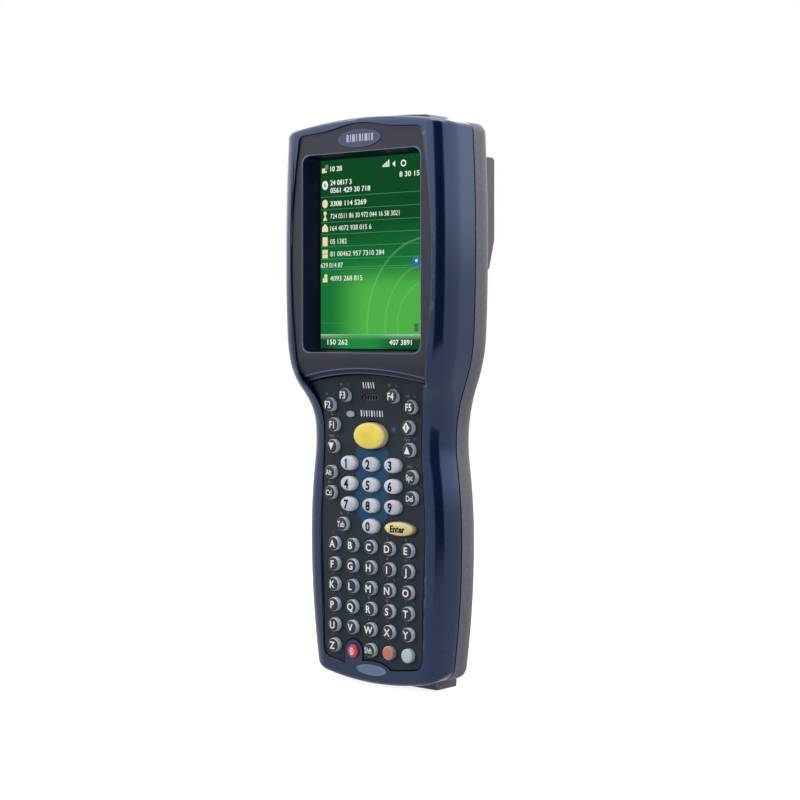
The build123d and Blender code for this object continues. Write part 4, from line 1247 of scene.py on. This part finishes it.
class TERMINAL_OT_shells(bpy.types.Operator):
    """Build the front and rear shells, the mount block and the seal between the shells"""

    bl_idname = "terminal.shells"
    bl_label = "Shells"

    def execute(self, context):
        smooth_node("rear_housing", crease=REAR_CREASE)
        smooth_node("handle_mount_block")
        even_long_edges(smooth_node("front_housing").data)
        finish_node("seal_gasket")
        return {"FINISHED"}


class TERMINAL_OT_front_panels(bpy.types.Operator):
    """Build the display bezel and the keypad plate"""

    bl_idname = "terminal.front_panels"
    bl_label = "Front Panels"

    def execute(self, context):
        for node in ("display_bezel", "keypad_plate"):
            smooth_node(node)
        return {"FINISHED"}


# --- Screen ---------------------------------------------------------------------------

SCREEN_INK = 0.02 * MM
SIGN_ACROSS = 0.045
LINE_HALF_HEIGHT = 0.09 * MM
LINE_END_GAP = 0.1 * MM
# Rows of figures: (height as a share, left end, right end, sign, figures, extra weight)
SCREEN_ROWS = [
    (0.955, 0.10, 0.22, "panes", "10 28", 0.02),
    (0.881, 0.10, 0.32, "ring", "24 0817 3", 0.02),
    (0.840, 0.10, 0.51, None, "0561 429 30 718", 0.02),
    (0.770, 0.10, 0.47, "disc", "3308 114 5269", 0.02),
    (0.703, 0.10, 0.80, "pin", "724 0511 86 30 972 044 16 58 3021", 0.0),
    (0.639, 0.10, 0.52, "house", "164 4072 938 015 6", 0.0),
    (0.569, 0.10, 0.27, "page", "05 1382", 0.0),
    (0.503, 0.10, 0.65, "grid", "81 00462 957 7310 284", 0.0),
    (0.443, 0.0, 0.23, None, "629 014 87", 0.0),
    (0.373, 0.10, 0.43, "lock", "4093 268 815", 0.0),
    (0.035, 0.07, 0.28, None, "150 262", 0.015),
    (0.035, 0.70, 0.92, None, "407 3891", 0.015),
    (0.900, 0.80, 0.995, None, "8 30 15", 0.02),
]
# Fine lines across the screen: (height, left end, right end)
SCREEN_LINES = [
    (0.806, 0, 1), (0.739, 0, 1), (0.671, 0, 1), (0.607, 0, 1), (0.542, 0, 1), (0.475, 0, 1),
    (0.430, 0, 1), (0.419, 0, 1), (0.135, 0, 0.35),
]
HOUSE = [
    (-1.5 * MM, -1.3 * MM), (1.5 * MM, -1.3 * MM), (1.5 * MM, 0.4 * MM),
    (0, 1.8 * MM), (-1.5 * MM, 0.4 * MM),
]
# Signs beside the rows: (finish, outline, shift across, shift up)
ICONS = {
    "ring": [
        ("lit_white", ring_points(1.5 * MM, 1.7 * MM), 0.0, -0.012),
        ("lit_blue", ring_points(0.7 * MM, 0.8 * MM), 0.0, -0.012),
    ],
    "disc": [("lit_cream", ring_points(1.45 * MM, 1.6 * MM), 0.0, 0.0)],
    "pin": [
        ("lit_cream", ring_points(0.8 * MM, 0.8 * MM), 0.0, 0.016),
        ("lit_cream", [(-1.1 * MM, -1.6 * MM), (1.1 * MM, -1.6 * MM), (0, 0.6 * MM)], 0.0, 0.0),
    ],
    "house": [("lit_cream", HOUSE, 0.0, 0.0)],
    "page": [("lit_cream", box_points(1.3 * MM, 1.7 * MM), 0.0, 0.0)],
    "grid": [
        ("lit_cream", box_points(0.65 * MM, 0.75 * MM), du, dv)
        for du in (-0.014, 0.014)
        for dv in (-0.012, 0.012)
    ],
    "panes": [
        ("lit_cream", box_points(0.8 * MM, 0.9 * MM), -0.016, -0.008),
        ("lit_green", box_points(0.8 * MM, 0.9 * MM), 0.016, 0.01),
        ("lit_cream", box_points(0.35 * MM, 0.4 * MM), 0.01, -0.014),
    ],
    "lock": [
        ("lit_cream", box_points(1.2 * MM, 0.8 * MM), 0.0, -0.01),
        ("lit_cream", ring_points(0.8 * MM, 0.8 * MM), 0.008, 0.012),
    ],
}
# Signs that stand by themselves: (finish, outline, place across, height)
LONE_SIGNS = [
    *(
        (
            "lit_white", box_points(0.3 * MM, (0.4 + 0.3 * i) * MM),
            0.64 + 0.018 * i, 0.948 + 0.004 * i,
        )
        for i in range(4)
    ),
    ("lit_white", [(-1.0 * MM, 0), (0.4 * MM, -1.2 * MM), (0.4 * MM, 1.2 * MM)], 0.75, 0.955),
    *(("lit_white", points, 0.84, 0.955) for points in ring_parts(1.3 * MM, 1.25 * MM, 0.62)),
    ("lit_blue", box_points(1.7 * MM, 1.9 * MM), 0.965, 0.447),
    ("lit_white", ring_points(0.6 * MM, 0.6 * MM), 0.965, 0.452),
    ("lit_grey", box_points(1.0 * MM, 1.5 * MM), 0.965, 0.11),
]


class TERMINAL_OT_screen(bpy.types.Operator):
    """Build the lit screen, its plain figures and signs, and the touch panel over it"""

    bl_idname = "terminal.screen"
    bl_label = "Screen"

    def execute(self, context):
        settings = context.scene.terminal_screen
        for node in ("lcd_module", "touch_panel", "lcd_gasket"):
            finish_node(node)
        middle = node_centre("lcd_module")
        seen_width = settings.seen_share * settings.width
        marks = {name: [] for name in LIT_MARKS}

        def put(finish, mesh, u, v):
            """Lays a mark at a share of the picture's seen width and its height."""
            x = (u * settings.seen_share - 0.5) * settings.width
            marks[finish].append((mesh, x, middle.z + (v - 0.5) * settings.height))

        for v, left, right, icon, figures, weight in SCREEN_ROWS:
            mesh = text_mesh(figures, settings.figure_height, weight, SCREEN_INK)
            wide = 2 * max(vert.co.x for vert in mesh.vertices)
            mesh.transform(Matrix.Diagonal(((right - left) * seen_width / wide, 1.0, 1.0, 1.0)))
            put("lit_white", mesh, (left + right) / 2, v)
            for finish, points, du, dv in ICONS.get(icon, []):
                put(finish, outline_mesh(points, SCREEN_INK), SIGN_ACROSS + du, v + dv)
        for v, left, right in SCREEN_LINES:
            points = box_points((right - left) * seen_width / 2 - LINE_END_GAP, LINE_HALF_HEIGHT)
            put("lit_green", outline_mesh(points, SCREEN_INK), (left + right) / 2, v)
        for finish, points, u, v in LONE_SIGNS:
            put(finish, outline_mesh(points, SCREEN_INK), u, v)
        for finish, parts in marks.items():
            mesh = gathered(parts, -front_height("lcd_module"), finish)
            add_piece("screen_" + finish, mesh, finish)
        return {"FINISHED"}


# --- Trim, rear and inner pieces ------------------------------------------------------

BADGE_CREASE = 40.0
# Upright bars on the upper badge, in millimetres: (width, gap after it)
BADGE_BARS = [
    (1.0, 0.7), (0.5, 0.6), (1.3, 0.7), (0.5, 0.9), (0.9, 0.6), (0.5, 0.7), (1.4, 0.6),
    (0.5, 0.7), (0.9, 0),
]
BADGE_BARS_START = 6.2 * MM  # from the badge's middle to the first bar's left edge
BADGE_BARS_RISE = 0.2 * MM
BADGE_BAR_HALF_HEIGHT = 1.35 * MM


class TERMINAL_OT_trim(bpy.types.Operator):
    """Build the badges, the status light, the speaker grille and the scan window"""

    bl_idname = "terminal.trim"
    bl_label = "Trim"

    def execute(self, context):
        for node in ("status_light_lens", "speaker_grille", "scan_window"):
            smooth_node(node)
        for node in ("upper_badge", "lower_badge"):
            smooth_node(node, crease=BADGE_CREASE)
        badge = node_centre("upper_badge")
        bars = []
        x = badge.x - BADGE_BARS_START
        for wide, gap in BADGE_BARS:
            half = wide * MM / 2
            bar = outline_mesh(box_points(half, BADGE_BAR_HALF_HEIGHT))
            bars.append((bar, x + half, badge.z + BADGE_BARS_RISE))
            x += (wide + gap) * MM
        mesh = gathered(bars, -front_height("upper_badge"), "badge_bars")
        add_piece("badge_bars", mesh, "badge_silver")
        return {"FINISHED"}


class TERMINAL_OT_rear(bpy.types.Operator):
    """Build the battery, its latch and the dock connector"""

    bl_idname = "terminal.rear"
    bl_label = "Battery and Latch"

    def execute(self, context):
        for node in ("battery_pack", "battery_latch", "dock_connector"):
            smooth_node(node)
        return {"FINISHED"}


class TERMINAL_OT_screws(bpy.types.Operator):
    """Build the socket screws of the shells and of the mount block"""

    bl_idname = "terminal.screws"
    bl_label = "Screws"

    def execute(self, context):
        settings = context.scene.terminal_shell
        head_height = settings.screw_head_height
        for node in ("housing_screws", "block_screws"):
            boxes = solid_boxes(node)
            low, high = boxes[0]
            places = [
                Vector(((a.x + b.x) / 2, b.y - head_height, (a.z + b.z) / 2)) for a, b in boxes
            ]
            values = {
                "Head radius": (high.x - low.x) / 2,
                "Head height": head_height,
                "Shank length": (high.y - low.y) - head_height,
                "Socket radius": settings.socket_radius,
                "Finish": finishes()["steel"],
            }
            mesh = grown_mesh(screw_tree(), places, values)
            add_piece(node + "_finished", mesh, "steel", "housing", (node,))
        return {"FINISHED"}


class TERMINAL_OT_inner_pieces(bpy.types.Operator):
    """Give the boards, the key mat, the scan engine and the other inner pieces their finish"""

    bl_idname = "terminal.inner_pieces"
    bl_label = "Inner Pieces"

    def execute(self, context):
        for node, piece in frame["nodes"].items():
            if not piece.hide_render:
                finish_node(node)
        return {"FINISHED"}


# --- Stage ----------------------------------------------------------------------------

FLOOR_REACH = 12.0
FLOOR_COLOUR = (0.35, 0.35, 0.35)
DARK_SIDE = Vector((0.42, -0.908, 0.0))
DARK_LOWEST = (-0.18, -0.13)  # rises of a direction between which the dark side begins
AIM = Vector((0.0, 0.0, 0.11))
# Lamps: (name, place, width, height, the power's setting, seen in reflections)
LAMPS = [
    ("right_lamp", (0.95, 0.75, 0.75), 0.9, 1.2, "side_power", False),
    ("left_lamp", (-0.75, -0.9, 0.65), 0.7, 0.9, "front_power", False),
    ("top_lamp", (0.1, -0.1, 1.2), 0.8, 0.8, "top_power", True),
]
CAMERA_PLACE = Vector((0.4498, -0.5253, 0.132))
CAMERA_SIDE = Vector((0.662, -0.7495, 0.0))
CAMERA_VALUES = {
    "sensor_width": 36.0, "lens": 82.29, "shift_x": 0.0376, "shift_y": -0.085,
    "clip_start": 0.01, "clip_end": 50.0,
}


def lit_side(nodes, toward, settings):
    """1 for most directions, 0 for those towards the dark surroundings in front."""
    kind = "ShaderNodeVectorMath"
    level = nodes.add(kind, {0: toward, 1: (1.0, 1.0, 0.0)}, operation="MULTIPLY").outputs[0]
    level = nodes.add(kind, {0: level}, operation="NORMALIZE").outputs[0]
    facing = {0: level, 1: DARK_SIDE.normalized()[:]}
    facing = nodes.add(kind, facing, operation="DOT_PRODUCT").outputs["Value"]
    angles = (settings.dark_outer, settings.dark_inner)
    outer, inner = (math.cos(math.radians(angle)) for angle in angles)
    up = nodes.parts(toward)["Z"]
    dark = nodes.product(nodes.fade(facing, outer, inner), nodes.fade(up, *DARK_LOWEST))
    return nodes.inverse(dark)


def seen_directly(nodes, path):
    """1 for rays from the camera, also through clear pieces."""
    return nodes.math("ADD", path["Is Camera Ray"], path["Is Transmission Ray"], clamp=True)


def between(nodes, factor, first, second):
    """A number between two numbers."""
    return nodes.add("ShaderNodeMix", {0: factor, 2: first, 3: second}).outputs[0]


def build_world(settings):
    """White where it is seen, plain grey light, graded and partly dark in reflections."""
    world = bpy.data.worlds.new("studio")
    world.use_nodes = True
    world.node_tree.nodes.clear()
    nodes = NodeBuilder(world.node_tree)
    path = nodes.add("ShaderNodeLightPath").outputs
    toward = nodes.add("ShaderNodeTexCoord").outputs["Generated"]
    graded = {
        "Value": nodes.fade(nodes.parts(toward)["Z"], settings.grade_low, settings.grade_high),
        "To Min": settings.glossy_low,
        "To Max": settings.glossy_high,
    }
    graded = nodes.add("ShaderNodeMapRange", graded).outputs["Result"]
    glossy = nodes.product(graded, lit_side(nodes, toward, settings))
    strength = between(nodes, path["Is Glossy Ray"], settings.ambient, glossy)
    strength = between(nodes, seen_directly(nodes, path), strength, 1.0)
    background = {"Color": opaque(WHITE), "Strength": strength}
    background = nodes.add("ShaderNodeBackground", background).outputs["Background"]
    nodes.add("ShaderNodeOutputWorld", {"Surface": background})
    bpy.context.scene.world = world


def floor_finish(settings):
    """White where it is seen, pale grey under the light, plain in reflections."""
    nodes = Finish("floor")
    pale = nodes.add("ShaderNodeBsdfDiffuse", {"Color": opaque(FLOOR_COLOUR)}).outputs["BSDF"]
    path = nodes.add("ShaderNodeLightPath").outputs
    level = nodes.product(seen_directly(nodes, path), settings.floor_level)
    glow = nodes.add("ShaderNodeEmission", {"Strength": level}).outputs["Emission"]
    seen = nodes.add("ShaderNodeAddShader", {0: pale, 1: glow}).outputs["Shader"]
    back = {0: nodes.add("ShaderNodeNewGeometry").outputs["Incoming"], 3: -1.0}
    toward = nodes.add("ShaderNodeVectorMath", back, operation="SCALE").outputs["Vector"]
    level = nodes.product(lit_side(nodes, toward, settings), settings.floor_glossy)
    mirrored = nodes.add("ShaderNodeEmission", {"Strength": level}).outputs["Emission"]
    both = {0: path["Is Glossy Ray"], 1: seen, 2: mirrored}
    return nodes.end(nodes.add("ShaderNodeMixShader", both).outputs["Shader"])


def build_floor(settings):
    """A wide pale floor that keeps a soft shadow."""
    mesh = bpy.data.meshes.new("floor")
    corners = [(x, y, 0) for x, y in box_points(FLOOR_REACH, FLOOR_REACH)]
    mesh.from_pydata(corners, [], [(0, 1, 2, 3)])
    mesh.materials.append(floor_finish(settings))
    floor = bpy.data.objects.new("floor", mesh)
    bpy.context.scene.collection.objects.link(floor)


def build_lamps(settings):
    """Soft rectangular lamps aimed at the middle of the terminal."""
    for name, place, width, height, power, mirrored in LAMPS:
        light = bpy.data.lights.new(name, "AREA")
        light.shape = "RECTANGLE"
        light.size = width
        light.size_y = height
        light.energy = getattr(settings, power)
        lamp = bpy.data.objects.new(name, light)
        lamp.location = place
        lamp.visible_glossy = mirrored
        lamp.rotation_euler = (AIM - Vector(place)).to_track_quat("-Z", "Y").to_euler()
        bpy.context.scene.collection.objects.link(lamp)


def build_camera():
    """Level with the keypad's top and off the front right corner."""
    data = bpy.data.cameras.new("camera")
    for name, value in CAMERA_VALUES.items():
        setattr(data, name, value)
    camera = bpy.data.objects.new("camera", data)
    camera.location = CAMERA_PLACE
    camera.rotation_euler = (-CAMERA_SIDE).to_track_quat("-Z", "Y").to_euler()
    bpy.context.scene.collection.objects.link(camera)
    bpy.context.scene.camera = camera


class TERMINAL_OT_stage(bpy.types.Operator):
    """Build the floor, the soft lamps, the white surroundings and the camera"""

    bl_idname = "terminal.stage"
    bl_label = "Stage"

    def execute(self, context):
        settings = context.scene.terminal_stage
        context.scene.view_settings.view_transform = "Standard"
        build_world(settings)
        build_floor(settings)
        build_lamps(settings)
        build_camera()
        return {"FINISHED"}


# --- Settings -------------------------------------------------------------------------


def colour_setting(name, description, default):
    return bpy.props.FloatVectorProperty(
        name=name, description=description, default=default, subtype="COLOR", size=3,
        min=0.0, max=1.0,
    )


def length_setting(name, description, default):
    return bpy.props.FloatProperty(
        name=name, description=description, default=default, min=0.0, unit="LENGTH", precision=5
    )


def number_setting(name, description, default):
    return bpy.props.FloatProperty(name=name, description=description, default=default)


class TerminalShellSettings(bpy.types.PropertyGroup):
    """Colours of the shells and sizes of the screws"""

    navy: colour_setting("Front Shell", "Base colour of the front shell", paint("#071836"))
    navy_drift: colour_setting(
        "Front Shell Drift", "Colour that the front shell drifts to", paint("#0a1c40")
    )
    rear: colour_setting("Rear Shell", "Base colour of the rear shell", paint("#484a52"))
    rear_drift: colour_setting(
        "Rear Shell Drift", "Colour that the rear shell drifts to", paint("#51525b")
    )
    screw_head_height: length_setting("Screw Head", "Height of a screw's head", 1.8 * MM)
    socket_radius: length_setting("Screw Socket", "Radius of a screw's socket", 1.2 * MM)


class TerminalKeySettings(bpy.types.PropertyGroup):
    """Sizes and colours of the keys and of what is printed on and above them"""

    base_margin: length_setting("Base Margin", "How much wider a key is under the plate", 0.45 * MM)
    sink: length_setting("Sink", "How far a cap reaches under the plate's face", 2.0 * MM)
    squareness: number_setting("Squareness", "How sharply a cap turns from wall to top", 8.0)
    soft_squareness: number_setting("Soft Squareness", "The same for digit and enter keys", 4.5)
    cap_colour: colour_setting("Cap", "Colour of a cap's body", paint("#d0daf0"))
    ink_colour: colour_setting("Ink", "Colour of the printed disc", paint("#0b1020"))
    ink_reach: number_setting("Ink Reach", "Radius of the printed disc as a share of the cap", 0.93)
    letter_height: length_setting("Letter Height", "Height of the letters", 2.75 * MM)
    word_height: length_setting("Word Height", "Height of words of three or more letters", 2.2 * MM)
    digit_height: length_setting("Digit Height", "Height of the digits", 3.4 * MM)
    letter_weight: number_setting("Letter Weight", "Extra stroke width as a share of the height", 0.03)
    letter_shift: length_setting("Letter Shift", "How far letters sit left of a key's middle", 0.3 * MM)
    digit_shift: length_setting("Digit Shift", "How far digits sit left of a key's middle", 0.6 * MM)
    # Painted shadow along the plate's outline
    shadow_band_width: length_setting("Seam", "Width of the dark band along the plate's outline", 0.45 * MM)
    bar_height: length_setting("Bar Height", "Height of the bars round the grille", 2.3 * MM)
    mark_height: length_setting("Mark Height", "Height of the marks above the keys", 1.05 * MM)
    mark_weight: number_setting("Mark Weight", "Extra stroke width of the marks", 0.02)
    mark_spread: length_setting("Mark Spread", "Distance of the marks from a key's middle", 1.7 * MM)
    mark_rise: length_setting("Mark Rise", "Height of the marks over a key's middle", 3.9 * MM)


class TerminalScreenSettings(bpy.types.PropertyGroup):
    """Size and colours of the lit picture"""

    figure_height: length_setting("Figure Height", "Height of the figures", 1.95 * MM)
    width: length_setting("Width", "Width of the lit picture", 53.64 * MM)
    height: length_setting("Height", "Height of the lit picture", 71.52 * MM)
    seen_share: number_setting("Seen Share", "Share of the picture's width that its figures fill", 0.92)
    dark: colour_setting("Dark", "Colour of the picture's upper part", paint("#0e4723"))
    middle: colour_setting("Middle", "Colour of the picture's middle", paint("#187036"))
    bright: colour_setting("Bright", "Colour of the picture's lower right part", paint("#4dac46"))


class TerminalStageSettings(bpy.types.PropertyGroup):
    """Strength of the lamps and of the surroundings"""

    side_power: number_setting("Side Lamp", "Power of the lamp at the right and behind", 16.0)
    front_power: number_setting("Front Lamp", "Power of the lamp at the left and in front", 9.0)
    top_power: number_setting("Top Lamp", "Power of the lamp above", 8.0)
    ambient: number_setting("Ambient", "Strength of the surroundings as light", 0.4)
    glossy_low: number_setting("Glossy Low", "Strength of the surroundings low in reflections", 0.6)
    glossy_high: number_setting("Glossy High", "Strength of the surroundings high in reflections", 1.9)
    grade_low: number_setting("Grade Low", "Rise of a direction where the brightening starts", -0.03)
    grade_high: number_setting("Grade High", "Rise of a direction where the brightening ends", 0.1)
    dark_inner: number_setting("Dark Inner", "Half angle of the darkest part, in degrees", 22.0)
    dark_outer: number_setting("Dark Outer", "Half angle where the dark side ends, in degrees", 25.0)
    floor_level: number_setting("Floor Level", "Glow of the floor where it is seen", 0.88)
    floor_glossy: number_setting("Floor Glossy", "Glow of the floor in reflections", 0.85)


SETTINGS = {
    "terminal_shell": TerminalShellSettings,
    "terminal_keys": TerminalKeySettings,
    "terminal_screen": TerminalScreenSettings,
    "terminal_stage": TerminalStageSettings,
}

OPERATORS = [
    TERMINAL_OT_shells,
    TERMINAL_OT_front_panels,
    TERMINAL_OT_screen,
    TERMINAL_OT_key_caps,
    TERMINAL_OT_legends,
    TERMINAL_OT_plate_print,
    TERMINAL_OT_trim,
    TERMINAL_OT_rear,
    TERMINAL_OT_screws,
    TERMINAL_OT_inner_pieces,
    TERMINAL_OT_stage,
]


class TERMINAL_PT_panel(bpy.types.Panel):
    """Lists the settings and the build steps of the terminal"""

    bl_label = "Barcode Terminal"
    bl_idname = "TERMINAL_PT_panel"
    bl_space_type = "VIEW_3D"
    bl_region_type = "UI"
    bl_category = "Terminal"

    def draw(self, context):
        for prop, group in SETTINGS.items():
            box = self.layout.box()
            box.label(text=group.__doc__)
            for name in group.__annotations__:
                box.prop(getattr(context.scene, prop), name)
        for operator in OPERATORS:
            self.layout.operator(operator.bl_idname)


def register():
    for group in SETTINGS.values():
        bpy.utils.register_class(group)
    for prop, group in SETTINGS.items():
        setattr(bpy.types.Scene, prop, bpy.props.PointerProperty(type=group))
    for operator in OPERATORS:
        bpy.utils.register_class(operator)
    bpy.utils.register_class(TERMINAL_PT_panel)


def unregister():
    bpy.utils.unregister_class(TERMINAL_PT_panel)
    for operator in reversed(OPERATORS):
        bpy.utils.unregister_class(operator)
    for prop, group in SETTINGS.items():
        delattr(bpy.types.Scene, prop)
        bpy.utils.unregister_class(group)


def main():
    register()
    for operator in OPERATORS:
        group, name = operator.bl_idname.split(".")
        getattr(getattr(bpy.ops, group), name)()


if __name__ == "__main__":
    main()
